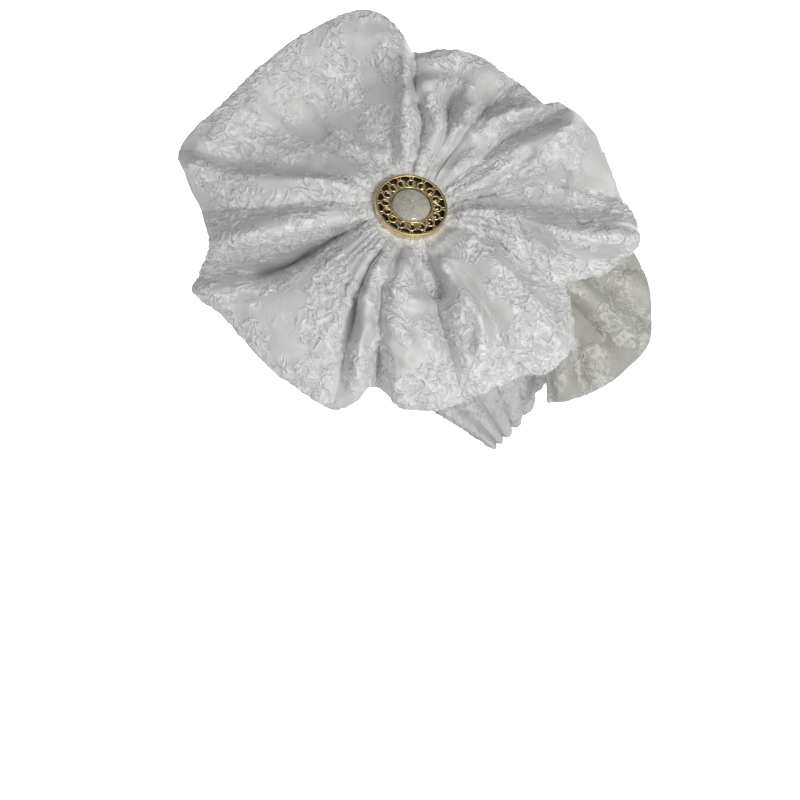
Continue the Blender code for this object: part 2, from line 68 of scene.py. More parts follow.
STONE_DOME = 0.0046
RUFFLE_RADIUS = 0.097
RUFFLE_CLOTH = 0.0026
RUFFLE_HUB_RADIUS = 0.0080
RUFFLE_HUB_HEIGHT = 0.0060
RUFFLE_SEAT = (0.62, 0.66, 0.36)
CLEARANCE = 0.0003
REST_GAP = 0.0008
SOFT_REST = 0.0015
LEAN = 0.62
CROWN_CURL = 0.28
EAR_DROOP = 0.42
WRAP = 0.12
FOLD_DEPTH = 1.5
VALLEY_SLOPE = 1.35
RIM_ROLL_FROM = 0.86
RIM_ROLL = 0.035
RUFFLE_OUT = 0.05
RUFFLE_IN = 0.20
RUFFLE_ROOT_REACH = 0.04
NECK_REACH = 0.38
ROOT_KNOT = 0.17
BELLY_KNOT = 0.66
ROOT_RADIUS = BROOCH_RADIUS + 2 * CLEARANCE

# Doubled cloth, and the fine relief of its crinkle
DOUBLED_CLOTH = 0.0034
CRINKLE_HEIGHT = 0.0012
CRINKLE_SIZE = 0.0066
CRINKLE_BEND_SIZE = 1.6
CRINKLE_BEND = 0.7
CRINKLE_POWER = 1.2
CRINKLE_MEAN = 0.25
CRINKLE_PATCH = 0.026
PATCH_FINER = (0.4, 0.45)
PATCH_EDGE = (-0.42, -0.02)
SATIN_SHARE = 0.12
DENT_HEIGHT = 0.0011
DENT_SIZE = 0.020
DENT_FINER = (0.45, 0.5)
BACK_SHARE = 0.35
GATHER_HEIGHT = 0.0016
GATHER_SHARPNESS = 2.4
FLOWER_GATHERS = (150, 56)
RUFFLE_GATHERS = (60, 26)
ROOT_SHARE = 0.1
ROOT_FADE = (0.02, 0.06)
CAP_CRINKLE = 0.8
CAP_DENTS = 0.6
CAP_FOLD_DEG = 4.2
CAP_FOLD_ROUND = 1.6
CAP_FOLD_SHARPNESS = 2.2
CAP_FOLD_HEIGHT = 0.0005
CAP_FOLD_FRONT = 0.45
NAPE_FADE = (0.008, 0.030)
HEM_SHARE = 0.6
HEM_DEG = 3.2
HEM_GATHERS = 150
HEM_GATHER_HEIGHT = 0.0008

# Seeds of the noise, two in a row where a finer one is added
BEND_SEEDS = (1, 2, 3)
PATCH_SEED = 6
DENT_SEED = 8
CAP_FOLD_SEED = 13

# Ridges of the crinkle, coarse and fine: share of its size, seed, sharpness and height
RIDGES = ((1.0, 4, 3.2, 0.7), (0.6, 5, 2.6, 0.5))

# Gathers, fine and broad: share of the height, wander on the way out, seed, and how much and where they fade
GATHERS = ((0.45, 2.5, 11, 1.0, (0.04, 0.36)), (0.55, 1.6, 12, 0.8, (0.15, 0.8)))

# Samples of the fine meshes: the flower has half its columns from one share of the way out, then all
FLOWER_COLUMNS = 1200
FLOWER_ROWS = 103
HALF_FROM = 0.22
ALL_FROM = 0.68
BACK_STEP = 3
EDGE_STEPS = 6
HUB_LEVELS = (0.5, 0.25, 0.0)
RUFFLE_COLUMNS = 170
RUFFLE_ROWS = 84
RUFFLE_START = 0.05
RUFFLE_MERGE = 0.00002
RUFFLE_BEND_DEG = (60.0, 30.0, 0.0, -30.0, -60.0)
CAP_COLUMNS = 720
CAP_STEPS = 15
CAP_ALL_TO_DEG = 100.0
ACROSS_STEP = 0.0012
OUT_STEP = 0.004

# The cap's own mesh in the model's source, on which the hubs are seated
CAD_CAP_COLUMNS = 36
CAD_PLEAT_STEPS = 4
CAD_CAP_MESH = 0.008
FRONT_PLEAT = 0.55
PLEAT_FULLNESS = 0.8

# The brooch's fine work
BEZEL_WALL = 0.0009
WEB_RADIUS = 0.017
WEB_LEVEL = 0.0034
RIM_EASE = 0.0001
RIM_BULGE = 0.00009
RIM_BULGE_LEVEL = 0.45
EDGE_ROUNDING = 0.0005
MILL_DEPTH = 0.0001
MILL_TEETH = 96
MILL_FROM = 0.8
DISH_COLUMNS = 384
SCROLLS = 16
SCROLL_CENTRE = 0.0157
SCROLL_LEVEL = 0.0042
SCROLL_RADIUS = 0.00238
SCROLL_WIRE = 0.00056
SCROLL_START_DEG = 150
SCROLL_SWEEP_DEG = 500
SCROLL_STEPS = 46
HOOK_FROM = 0.72
HOOK_SHARE = 0.36
HOOK_RISE = 0.0004
CUP_RADIUS = 0.0017
CUP_RISE = 0.00008
CUP_SIDES = 16
STRUT_LEAN = 0.0011
STRUT_START = 0.9
STRUT_FOOT = 0.25
STRUT_WIRE = 0.8 * SCROLL_WIRE
STRUT_SIDES = 6
STRUT_STEPS = 4
WIRE_SIDES = 8
WIRE_END = 0.7
WIRE_END_SIZE = 0.55
STONE_COLUMNS = 96
STONE_ROWS = 16

# Pairs of colours that a material blends, by noise or, on the cloths, from a painted shade between the
# crinkle's crests to a painted highlight on them; and how high the brown patina of the gold reaches
# The flower's cloth: first a grey painted shade between the crinkle's crests, then a painted highlight on
# them
WHITE_CLOTH_SHADE_AND_HIGHLIGHT = ((0.68, 0.678, 0.67), (0.94, 0.94, 0.945))
# The cap's cloth: the same white painted darker all over, as painted shade under the flower
NAPE_CLOTH_PAINTED_SHADE = ((0.57, 0.575, 0.585), (0.74, 0.745, 0.755))
# The rear fan's cloth: the same white painted darker and beige, as painted shade under the flower
REAR_CLOTH_PAINTED_SHADE = ((0.45, 0.445, 0.41), (0.70, 0.69, 0.65))
GOLD = ((0.92, 0.82, 0.55), (0.72, 0.54, 0.26))
PATINA = (0.045, 0.022, 0.010)
STONE = ((0.40, 0.385, 0.325), (0.54, 0.52, 0.455))
GLINT = (0.92, 0.90, 0.84)
FLOOR = ((0.86,) * 3, (0.90,) * 3)
DISH_PATINA = (0.50, 0.86)
SCROLL_PATINA = (0.58, 0.74)
NO_PATINA = (-2.0, -1.0)

# Sizes in the materials: winding ridges with their width, noises, and the depths of the bumps
BROAD_WORMS = (0.0075, 0.085)
SMALL_WORMS = (0.0042, 0.10)
WEAVE_SIZE = 0.0006
MOTTLE_SIZE = 0.018
WEAR_SIZE = 0.0016
GRAIN_SIZE = 0.0009
CLOUD_SIZE = 0.006
GLINT_SIZE = 0.0012
FLOOR_SIZE = 0.4
BROAD_DEPTH = 0.0006
SMALL_DEPTH = 0.00016
WEAVE_DEPTH = 0.0001
GRAIN_DEPTH = 0.00006

# The photograph's view
CAMERA_DISTANCE = 1.6
VIEW_WIDTH = 0.496
VIEW_REARWARD = 0.0127
VIEW_LEVEL = -0.0172

# Lights and floor
WHITE = (1.0,) * 3
MIDDLE = (0.02, 0.02, 0.06)
Light = namedtuple("Light", "place size power color target", defaults=(WHITE, MIDDLE))
LIGHTS = {
    "key": Light((1.3, 0.60, -0.08), 0.40, 8.2, (1.0, 0.99, 0.98)),
    "fill": Light((1.3, -0.9, 0.1), 0.8, 0.7, (0.95, 0.97, 1.0)),
    "rim": Light((-1.2, 0.6, 1.0), 0.8, 3.0),
    "backdrop": Light((-0.9, 0.0, 1.3), 1.6, 60.0, target=(-2.6, 0.0, 0.3)),
}
WORLD_COLOR = (0.96, 0.98, 1.0)
WORLD_STRENGTH = 0.20
FLOOR_LEVEL = -0.34
STAGE_COLUMNS = 96
STAGE_PROFILE = ((0.0, 0.0), (1.6, 0.0), (2.0, 0.03), (2.3, 0.14), (2.52, 0.36), (2.62, 0.7), (2.65, 2.6))

Fold = namedtuple("Fold", "neck_deg neck_lift belly_deg belly_reach belly_lift rim_deg rim_reach rim_lift")
FLOWER_FOLDS = {
    "rear crease": Fold(-20, -0.03, -26, 0.62, -0.05, -26, 0.80, -0.06),
    "rear underside": Fold(-11, 0.02, -17, 0.68, 0.01, -16, 0.96, -0.02),
    "rear lip": Fold(-3, 0.06, -9, 0.68, 0.12, -8, 1.05, 0.08),
    "rear dish": Fold(5, 0.01, 3, 0.68, -0.02, -1, 1.04, -0.01),
    "rear notch": Fold(12, -0.03, 12, 0.63, -0.04, 4, 0.98, -0.04),
    "upper rear ridge": Fold(22, 0.05, 24, 0.63, 0.10, 24, 0.93, 0.06),
    "upper rear valley": Fold(36, -0.02, 37, 0.57, -0.05, 35, 0.90, -0.03),
    "top rear ridge": Fold(49, 0.03, 46, 0.57, 0.06, 40, 0.80, 0.06),
    "top rear dish": Fold(55, 0.01, 54, 0.59, -0.04, 52, 0.80, 0.00),
    "arch right leg": Fold(60, 0.03, 60, 0.55, 0.06, 63, 0.81, 0.02),
    "arch pocket": Fold(65, 0.00, 69, 0.50, -0.06, 71, 0.81, 0.02),
    "arch left leg": Fold(72, 0.04, 80, 0.54, 0.05, 80, 0.79, 0.02),
    "top notch": Fold(82, -0.04, 87, 0.54, -0.05, 88, 0.77, -0.04),
    "top front ridge": Fold(93, 0.05, 93, 0.57, 0.07, 93, 0.86, 0.03),
    "top front shoulder": Fold(107, 0.00, 105, 0.62, 0.00, 103, 0.98, 0.03),
    "top front dish": Fold(126, -0.04, 127, 0.64, -0.09, 122, 0.98, 0.02),
    "front dish": Fold(141, -0.03, 143, 0.65, -0.08, 145, 1.00, 0.03),
    "front faint ridge": Fold(151, 0.02, 154, 0.66, 0.00, 157, 1.07, 0.04),
    "front shoulder": Fold(156, 0.00, 162, 0.68, -0.01, 164, 1.12, 0.02),
    "front top ridge": Fold(163, 0.06, 170, 0.68, 0.09, 171, 1.05, 0.05),
    "front middle valley": Fold(175, 0.04, 179, 0.66, 0.05, 180, 0.96, 0.01),
    "front lower ridge": Fold(190, 0.08, 190, 0.66, 0.12, 190, 0.92, 0.07),
    "front crease": Fold(201, -0.07, 204, 0.66, -0.12, 197, 1.00, -0.04),
    "lower front ridge": Fold(209, 0.01, 212, 0.64, 0.04, 201, 1.05, 0.03),
    "lower front belly": Fold(218, 0.04, 220, 0.62, 0.06, 213, 0.96, 0.04),
    "lower front finger": Fold(231, 0.05, 237, 0.62, 0.06, 236, 0.95, 0.05),
    "finger hollow": Fold(238, -0.04, 245, 0.62, -0.02, 249, 0.97, 0.02),
    "lower mid ridge": Fold(243, 0.05, 251, 0.62, 0.08, 255, 0.90, 0.03),
    "lower mid notch": Fold(252, 0.00, 257, 0.60, 0.01, 259, 0.81, -0.03),
    "lower mid face": Fold(264, 0.06, 264, 0.62, 0.08, 268, 0.90, 0.05),
    "lower mid shoulder": Fold(277, 0.00, 277, 0.62, 0.05, 277, 0.92, 0.05),
    "deep hollow": Fold(286, -0.10, 285, 0.56, -0.06, 285, 0.90, 0.02),
    "lower rear ridge": Fold(299, 0.06, 300, 0.62, 0.09, 294, 0.89, 0.06),
    "lower rear dent": Fold(306, 0.03, 306, 0.62, 0.04, 302, 0.90, 0.03),
    "lower rear face": Fold(315, 0.06, 315, 0.64, 0.10, 312, 0.97, 0.06),
    "lower rear corner": Fold(326, 0.06, 324, 0.62, 0.06, 320, 0.96, 0.01),
}
RUFFLE_NECK_REACH = 0.38
RUFFLE_FOLDS = {
    "top edge": Fold(8, 0.01, 4, 0.58, 0.02, 0, 0.70, 0.00),
    "first valley": Fold(-3, -0.01, -6, 0.60, -0.04, -8, 0.77, -0.04),
    "first ridge": Fold(-13, 0.02, -15, 0.62, 0.02, -17, 0.84, 0.01),
    "second valley": Fold(-22, -0.02, -25, 0.64, -0.05, -27, 0.92, -0.05),
    "second ridge": Fold(-32, 0.03, -34, 0.66, 0.05, -37, 0.96, 0.03),
    "third valley": Fold(-42, -0.02, -44, 0.66, -0.04, -47, 0.96, -0.03),
    "third ridge": Fold(-52, 0.03, -54, 0.65, 0.05, -57, 0.95, 0.03),
    "fourth valley": Fold(-62, 0.00, -64, 0.63, -0.01, -67, 0.94, 0.00),
    "lower edge": Fold(-72, 0.03, -74, 0.60, 0.04, -77, 0.91, 0.03),
}

# Finer ridges (raised) and creases (sunk) in the gathered cloths: how wide and high they are, then the points
# of their way over the cloth as angles and reaches, which are measured like the folds'
CREASE_FADE = (0.17, 0.28)
FLOWER_CREASES = {
    "upper edge band": (0.009, 0.0035, (165, 1.02), (141, 0.87), (113, 0.87), (101, 0.82)),
    "upper dish": (0.02, -0.0095, (161, 0.84), (136, 0.69), (111, 0.68)),
    "upper faint ridge": (0.005, 0.0062, (145, 0.88), (146, 0.6), (144, 0.36), (143, 0.18)),
    "inner faint ridge": (0.0045, 0.0055, (130, 0.71), (131, 0.55), (133, 0.43), (119, 0.3)),
    "front top ridge": (0.0065, 0.008, (168, 1.03), (166, 0.68), (162, 0.46), (154, 0.18)),
    "front top hollow": (0.008, -0.006, (163, 0.92), (160, 0.68), (154, 0.45)),
    "front second ridge": (0.008, 0.0045, (189, 0.9), (188, 0.66), (182, 0.34)),
    "front pocket": (0.0075, -0.0095, (203, 0.73), (202, 0.58), (200, 0.38)),
    "lower front ridge": (0.0055, 0.0028, (202, 0.99), (205, 0.74), (206, 0.56)),
    "finger crease": (0.0065, 0.005, (231, 0.22), (238, 0.44), (244, 0.6), (249, 0.79)),
    "finger edge": (0.006, 0.0055, (241, 0.18), (242, 0.41), (248, 0.56), (253, 0.8)),
    "finger hollow": (0.007, -0.0025, (233, 0.45), (241, 0.56)),
    "zigzag ridge": (0.0045, 0.006, (248, 0.69), (252, 0.58), (258, 0.63), (268, 0.69)),
    "bottom notch hollow": (0.006, -0.0045, (255, 0.61), (259, 0.77)),
    "deep hollow": (0.0085, -0.012, (285, 0.29), (288, 0.39)),
    "hollow left edge": (0.0055, 0.009, (262, 0.17), (272, 0.32), (276, 0.43)),
    "hollow right edge": (0.005, 0.008, (302, 0.3), (299, 0.38), (302, 0.55), (301, 0.63), (296, 0.72)),
    "bottom belly": (0.015, 0.008, (277, 0.58), (278, 0.8)),
    "lower rear crease": (0.004, -0.0065, (342, 0.29), (335, 0.46), (330, 0.63), (325, 0.79)),
    "lower rear edge": (
        0.0058, 0.0078, (332, 0.22), (335, 0.33), (330, 0.49), (327, 0.64), (322, 0.78), (318, 0.91),
    ),
    "rear lip": (0.008, 0.0075, (3, 0.22), (356, 0.5), (350, 0.74), (353, 0.99)),
    "rear dish": (0.018, -0.006, (8, 0.46), (3, 0.86)),
    "upper rear ridge": (
        0.0058, 0.008, (51, 0.22), (42, 0.29), (39, 0.39), (34, 0.47), (33, 0.58), (30, 0.69), (29, 0.87),
    ),
    "upper rear crease": (0.0034, -0.006, (22, 0.18), (11, 0.29), (14, 0.37), (22, 0.53), (26, 0.62)),
    "arch": (
        0.0045, 0.0085, (89, 0.55), (84, 0.6), (75, 0.63), (71, 0.65), (66, 0.64), (61, 0.55), (54, 0.47),
    ),
    "arch pocket": (0.0075, 0.0085, (74, 0.57), (62, 0.41)),
    "arch left leg": (0.005, 0.0045, (79, 0.54), (73, 0.48), (72, 0.4), (69, 0.3)),
    "top rear ridge": (0.005, 0.008, (59, 0.54), (51, 0.57), (45, 0.65), (40, 0.73)),
    "top rear dish": (0.011, -0.0055, (58, 0.67), (50, 0.7)),
    "top edge": (0.0036, 0.0036, (93, 0.69), (93, 0.45), (100, 0.19)),
    "top notch": (0.008, 0.0105, (88, 0.72), (87, 0.50), (84, 0.18)),
    "lip shade": (0.009, -0.006, (345, 0.92), (334, 0.74), (333, 0.60)),
    "lobe band": (0.0045, 0.006, (240, 0.45), (253, 0.49), (263, 0.56), (270, 0.64)),
    "bowl rim": (0.0042, 0.006, (244, 0.31), (258, 0.38), (267, 0.42), (282, 0.44), (292, 0.43)),
    "bowl fill": (0.0095, 0.0085, (292, 0.5), (287, 0.77)),
    "notch fill": (0.007, 0.006, (258, 0.27), (255, 0.42), (257, 0.6)),
    "knob": (0.0042, 0.0065, (310, 0.19), (290, 0.23), (298, 0.3)),
    "top rear flat": (0.0075, -0.0045, (56, 0.26), (58, 0.44)),
    "upper rear pillow": (0.009, 0.004, (31, 0.24), (24, 0.34)),
    "rear upright ridge": (0.0045, 0.0035, (29, 0.86), (20, 0.81), (8, 0.76)),
    "rear notch line": (0.004, 0.0035, (7, 0.76), (4, 0.87), (2, 0.96)),
}
RUFFLE_CREASES = {
    "curled edge": (0.005, 0.0085, (-60, 0.52), (-69, 0.70), (-72, 0.90)),
    "curl shade": (0.0045, -0.004, (-53, 0.60), (-62, 0.86)),
    "upper edge": (0.005, 0.004, (-4, 0.74), (-17, 0.87), (-29, 0.97)),
}


# Plain geometry

def unit(vectors):
    """The same directions, each one long."""
    return vectors / np.linalg.norm(vectors, axis=-1, keepdims=True)


def direction(elevation_deg, turn_deg=0.0):
    """A direction from the wearer's left, raised by its elevation and turned towards the rear."""
    elevation, turn = math.radians(elevation_deg), math.radians(turn_deg)
    level = math.cos(elevation)
    return np.array([level * math.cos(turn), level * math.sin(turn), math.sin(elevation)])


def plane_axes(normal):
    """Two axes of the plane across a normal: one towards the rear and one upward."""
    rearward = unit(np.array([0.0, 1.0, 0.0]) - normal[1] * normal)
    return rearward, np.cross(normal, rearward)


def around(turn, first, second):
    """Directions at the given turns from a first axis towards a second one."""
    return np.outer(np.cos(turn), first) + np.outer(np.sin(turn), second)


def smooth(low, high, values):
    """A smooth step from 0 at low to 1 at high."""
    t = np.clip((values - low) / (high - low), 0, 1)
    return t * t * (3 - 2 * t)


def cubic(t):
    """How much the values before and after a place count there, and the slopes before and after it."""
    ease = 3 * t**2 - 2 * t**3
    return 1 - ease, ease, t**3 - 2 * t**2 + t, t**3 - t**2


# Noise that is the same on each run

CHANCE = np.random.RandomState(7)
SHUFFLE = np.tile(CHANCE.permutation(256), 2)
GRADIENTS = unit(CHANCE.normal(size=(256, 3)))


def noise(points, size, seed):
    """Smooth gradient noise of about -1 to 1, with cells of the given size."""
    scaled = points / size + seed * 17.31
    cell = np.floor(scaled).astype(np.int64)
    within = scaled - cell
    ease = within**3 * (within * (within * 6 - 15) + 10)
    total = np.zeros(len(points))
    for corner in np.ndindex(2, 2, 2):
        at = (cell + corner) & 255
        spot = SHUFFLE[SHUFFLE[SHUFFLE[at[:, 0]] + at[:, 1]] + at[:, 2]]
        weight = np.prod(np.where(corner, ease, 1 - ease), axis=1)
        total += weight * np.sum(GRADIENTS[spot] * (within - corner), axis=1)
    return total * 1.6


def rough(points, size, finer, weight, seed):
    """Noise with a finer one added to it."""
    return noise(points, size, seed) + weight * noise(points, size * finer, seed + 1)


def crinkle(points):
    """Short worm-like ridges, and the patches they lie in: 0 on smooth cloth to 1 inside a patch."""
    bend = [noise(points, CRINKLE_SIZE * CRINKLE_BEND_SIZE, seed) for seed in BEND_SEEDS]
    bent = points + np.stack(bend, axis=1) * CRINKLE_SIZE * CRINKLE_BEND
    ridges = np.full(len(points), -CRINKLE_MEAN)
    for share, seed, sharpness, height in RIDGES:
        crest = 1 - sharpness * np.abs(noise(bent, CRINKLE_SIZE * share, seed))
        ridges += height * np.clip(crest, 0, 1) ** CRINKLE_POWER
    patch = smooth(*PATCH_EDGE, rough(points, CRINKLE_PATCH, *PATCH_FINER, PATCH_SEED))
    return ridges * (SATIN_SHARE + (1 - SATIN_SHARE) * patch), patch


# The cap's egg

HALF = np.array([CAP_WIDTH, CAP_LENGTH, CAP_HEIGHT]) / 2
NAPE_LINE = np.array([0.0, NAPE_LINE_BACK, -NAPE_LINE_DOWN]) * HALF


def chord(plane_deg):
    """Where a pleat plane cuts the egg's middle line: direction, middle and half length."""
    angle = math.radians(plane_deg)
    along = np.array([0.0, -math.cos(angle), math.sin(angle)])
    a = np.sum((along / HALF) ** 2)
    b = np.sum(along * NAPE_LINE / HALF**2)
    c = np.sum((NAPE_LINE / HALF) ** 2) - 1
    return along, -b / a, math.sqrt(max(b * b - a * c, 0.0)) / a


def last_plane_deg():
    """The angle at which a pleat plane only touches the back of the egg."""
    low, high = 90.0, 150.0
    for _ in range(60):
        middle = (low + high) / 2
        low, high = (middle, high) if chord(middle)[2] > 0 else (low, middle)
    return low


OPENING_CENTRE = NAPE_LINE + chord(RIM_DEG)[0] * chord(RIM_DEG)[1]
LAST_PLANE_DEG = last_plane_deg()


def egg_normal(points):
    """Outward directions on the egg, for points relative to its middle."""
    return unit(points / HALF**2)


def clear_of_cap(points, cloth):
    """Moves points outward where the cloth would sink into the cap, so that it rests on its pleats."""
    room = HALF + PLEAT_RISE + cloth + REST_GAP
    offset = (points + OPENING_CENTRE) / room
    side = np.sqrt(np.clip(1 - offset[:, 1] ** 2 - offset[:, 2] ** 2, 0, 1)) * room[0]
    across = offset[:, 0] * room[0]
    moved = points.copy()
    moved[:, 0] += (side - across + np.sqrt((side - across) ** 2 + SOFT_REST**2)) / 2
    return moved


# Gathered cloth

def between_folds(values, steps, wrap=None, valley=0.0):
    """Samples a column of the fold table: level over each ridge, sloping as told into each valley."""
    if wrap is not None:
        values = np.concatenate([values[-1:] - wrap, values, values[:2] + wrap])
    rise = np.diff(values)
    before, after = rise[:-1], rise[1:]
    same_way = before * after > 0
    even = np.where(same_way, 2 * before * after / np.where(same_way, before + after, 1), 0)
    bottom = (before < 0) & (after > 0)
    leave = np.pad(np.where(bottom, valley * after, even), 1)
    arrive = np.pad(np.where(bottom, valley * before, even), 1)
    parts = (values[:-1], values[1:], leave[:-1], arrive[1:])
    samples = sum(np.outer(part, weight) for part, weight in zip(parts, cubic(np.arange(steps) / steps)))
    if wrap is not None:
        return samples[1:-1].ravel()
    return np.append(samples.ravel(), values[-1])


class Gathered:
    """A gathered cloth as a smooth surface: across runs round its folds, out from its root to its rim."""

    steps = 40

    def __init__(self, folds, place, root_row, neck_reach, closed):
        table = np.array(list(folds.values()), dtype=float)
        neck_deg, neck_lift, *further = table.T
        round_deg, same = (360.0, 0.0) if closed else (None, None)
        neck = (neck_deg, np.full(len(table), neck_reach), neck_lift)
        sections = [
            (
                np.radians(between_folds(deg, self.steps, round_deg)),
                between_folds(reach, self.steps, same),
                between_folds(lift, self.steps, same, VALLEY_SLOPE),
            )
            for deg, reach, lift in (neck, further[:3], further[3:])
        ]
        self.closed = closed
        self.place = place
        self.knots = np.array([ROOT_KNOT, neck_reach, BELLY_KNOT, 1.0])
        self.sections = [root_row(sections[0][0])] + [place(*section) for section in sections]
        if closed:
            self.sections = [np.vstack([rows, rows[:1]]) for rows in self.sections]
        run = sum(np.linalg.norm(np.diff(rows, axis=0), axis=1) for rows in self.sections[2:])
        self.run = np.concatenate([[0.0], np.cumsum(run)])
        self.run /= self.run[-1]

    def __call__(self, across, out):
        """Points at shares across, for one share of the way out."""
        at = np.interp(across % 1.0 if self.closed else across, self.run, np.arange(len(self.run)))
        low = np.minimum(at.astype(int), len(self.run) - 2)
        part = (at - low)[:, None]
        rows = [section[low] * (1 - part) + section[low + 1] * part for section in self.sections]
        gaps = np.diff(self.knots)
        runs = [(after - before) / gap for before, after, gap in zip(rows, rows[1:], gaps)]
        slopes = [runs[0]]
        for before, after, near, far in zip(runs, runs[1:], gaps, gaps[1:]):
            slopes.append((before * far + after * near) / (near + far))
        slopes.append(runs[-1])
        where = self.knots[0] + out * (self.knots[-1] - self.knots[0])
        i = min(max(int(np.searchsorted(self.knots, where, side="right")) - 1, 0), len(gaps) - 1)
        parts = (rows[i], rows[i + 1], slopes[i] * gaps[i], slopes[i + 1] * gaps[i])
        points = sum(part * weight for part, weight in zip(parts, cubic((where - self.knots[i]) / gaps[i])))
        over = max(out - RIM_ROLL_FROM, 0.0) / (1 - RIM_ROLL_FROM)
        points[:, 0] -= RIM_ROLL * over**2 * self.place.radius
        return self.place.settle(points)


def side_axes(surface, across, out):
    """Unit normal and outward direction of a surface at shares across, for one share of the way out."""
    along = surface(across + ACROSS_STEP, out) - surface(across - ACROSS_STEP, out)
    outward = unit(surface(across, min(out + OUT_STEP, 1.0)) - surface(across, max(out - OUT_STEP, 0.0)))
    return unit(np.cross(outward, along)), outward


# Meshes

def paint(mesh, name, values):
    """Stores one number for each vertex."""
    layer = mesh.attributes.new(name, "FLOAT", "POINT")
    layer.data.foreach_set("value", np.asarray(values, dtype=np.float32))


def add_item(name, data, place=(0.0, 0.0, 0.0), turn=(0.0, 0.0, 0.0)):
    """Links a mesh, a light or a camera into the scene."""
    item = bpy.data.objects.new(name, data)
    item.location = place
    item.rotation_euler = turn
    bpy.context.scene.collection.objects.link(item)
    return item


def stored(items, name, width):
    """What each item of a mesh stores under a name, one row for each."""
    values = np.empty(len(items) * width, dtype=np.float32)
    items.foreach_get(name, values)
    return values.reshape(-1, width).astype(float)


def read(piece, mark):
    return stored(piece.data.attributes[mark].data, "value", 1)[:, 0]


def read_points(piece):
    return stored(piece.data.vertices, "co", 3)


def move_points(piece, points):
    piece.data.vertices.foreach_set("co", points.astype(np.float32).ravel())
    piece.data.update()


class MeshRows:
    """Closed rows of points and the faces between them, also between rows of different sizes."""

    def __init__(self):
        self.points, self.marks, self.faces = [], [], []
        self.count, self.last = 0, None

    def add(self, row, across=0.0, out=0.0, side=1.0):
        """One row, with its shares across, its share of the way out, and its side: 1 the face, 0 the back."""
        if self.last is not None:
            self.join(*self.last, self.count, len(row))
        self.last = (self.count, len(row))
        self.extend(row, across, out, side)

    def extend(self, row, *marks):
        self.points.append(row)
        self.marks.append(np.stack([np.broadcast_to(mark, len(row)) for mark in marks]))
        self.count += len(row)

    def join(self, low, low_size, high, high_size):
        few, many = min(low_size, high_size), max(low_size, high_size)
        ratio = many // few
        for i in range(few):
            after = (i + 1) % few
            fine = [(i * ratio + k) % many for k in range(ratio + 1)]
            if high_size > low_size:
                self.faces.append((low + i, low + after, *[high + k for k in reversed(fine)]))
            else:
                self.faces.append((*[low + k for k in fine], high + after, high + i))

    def tip(self, point, side=1.0, start=False):
        """Closes the end of the rows, or their start, with one point."""
        low, size = (0, len(self.points[0])) if start else self.last
        for i in range(size):
            self.faces.append((low + i, low + (i + 1) % size, self.count))
        self.extend(np.array([point]), 0.0, 0.0, side)

    def build(self, name, merge=0.0):
        """A smooth mesh object, with its marks painted and its nearest points merged."""
        mesh = bpy.data.meshes.new(name)
        mesh.from_pydata(np.vstack(self.points), [], self.faces)
        for mark, values in zip(("across", "out", "side"), np.hstack(self.marks)):
            paint(mesh, mark, values)
        shape = bmesh.new()
        shape.from_mesh(mesh)
        if merge:
            bmesh.ops.remove_doubles(shape, verts=shape.verts, dist=merge)
        bmesh.ops.recalc_face_normals(shape, faces=shape.faces)
        shape.to_mesh(mesh)
        shape.free()
        mesh.shade_smooth()
        return add_item(name, mesh)


# Where the gathered cloths sit on the cap

def cap_loop(plane_deg, rise, columns):
    """One closed row of the cap: where a pleat plane cuts the egg, raised by the pleat's height there."""
    along, middle, half = chord(plane_deg)
    turn = np.linspace(0, 2 * np.pi, columns, endpoint=False)
    centre = NAPE_LINE + along * middle
    width = HALF[0] * math.sqrt(max(1 - np.sum((centre / HALF) ** 2), 0.0))
    points = centre - np.outer(np.cos(turn) * half, along)
    points[:, 0] += np.sin(turn) * width
    nape = (1 + np.cos(turn)) / 2
    height = rise * (FRONT_PLEAT + (1 - FRONT_PLEAT) * nape)
    return points + egg_normal(points) * height[:, None] - OPENING_CENTRE


def pleat_rows(steps):
    """Each row's plane angle and rise, from the rim over the pleats to the back of the head."""
    edges = (RIM_DEG, *PLEAT_EDGES_DEG, LAST_PLANE_DEG)
    rows = []
    for number, (low, high) in enumerate(zip(edges, edges[1:])):
        top = HEM_RISE * HEM_SHARE if number == 0 else PLEAT_RISE
        for step in range(steps):
            share = step / steps
            swell = math.sin(math.pi * share) ** PLEAT_FULLNESS
            if high == LAST_PLANE_DEG:
                share = math.sin(math.pi / 2 * share)
            rows.append((low + (high - low) * share, top * swell))
    return rows


def seat_on_cap(point, normal, foot_radius):
    """The foot of a hub on the cap: clear of the highest pleat under it."""
    rows = [cap_loop(plane_deg, rise, CAD_CAP_COLUMNS) for plane_deg, rise in pleat_rows(CAD_PLEAT_STEPS)]
    offset = np.vstack(rows) - point
    height = offset @ normal
    across = np.linalg.norm(offset - np.outer(height, normal), axis=1)
    return point + normal * (np.max(height[across < foot_radius + CAD_CAP_MESH]) + CLEARANCE)


SEAT_NORMAL = direction(SEAT_ELEVATION_DEG)
SEAT_POINT = HALF**2 * SEAT_NORMAL / np.linalg.norm(HALF * SEAT_NORMAL)
FLOWER_FOOT = seat_on_cap(SEAT_POINT - OPENING_CENTRE, SEAT_NORMAL, HUB_FOOT_RADIUS)
FLOWER_SEAT = FLOWER_FOOT + SEAT_NORMAL * HUB_HEIGHT
BROOCH_NORMAL = direction(BROOCH_ELEVATION_DEG, BROOCH_TURN_DEG)
RUFFLE_POINT = HALF * unit(np.array(RUFFLE_SEAT))
RUFFLE_NORMAL = egg_normal(RUFFLE_POINT)
RUFFLE_FOOT = seat_on_cap(RUFFLE_POINT - OPENING_CENTRE, RUFFLE_NORMAL, RUFFLE_HUB_RADIUS)
RUFFLE_TOP = RUFFLE_FOOT + RUFFLE_NORMAL * RUFFLE_HUB_HEIGHT


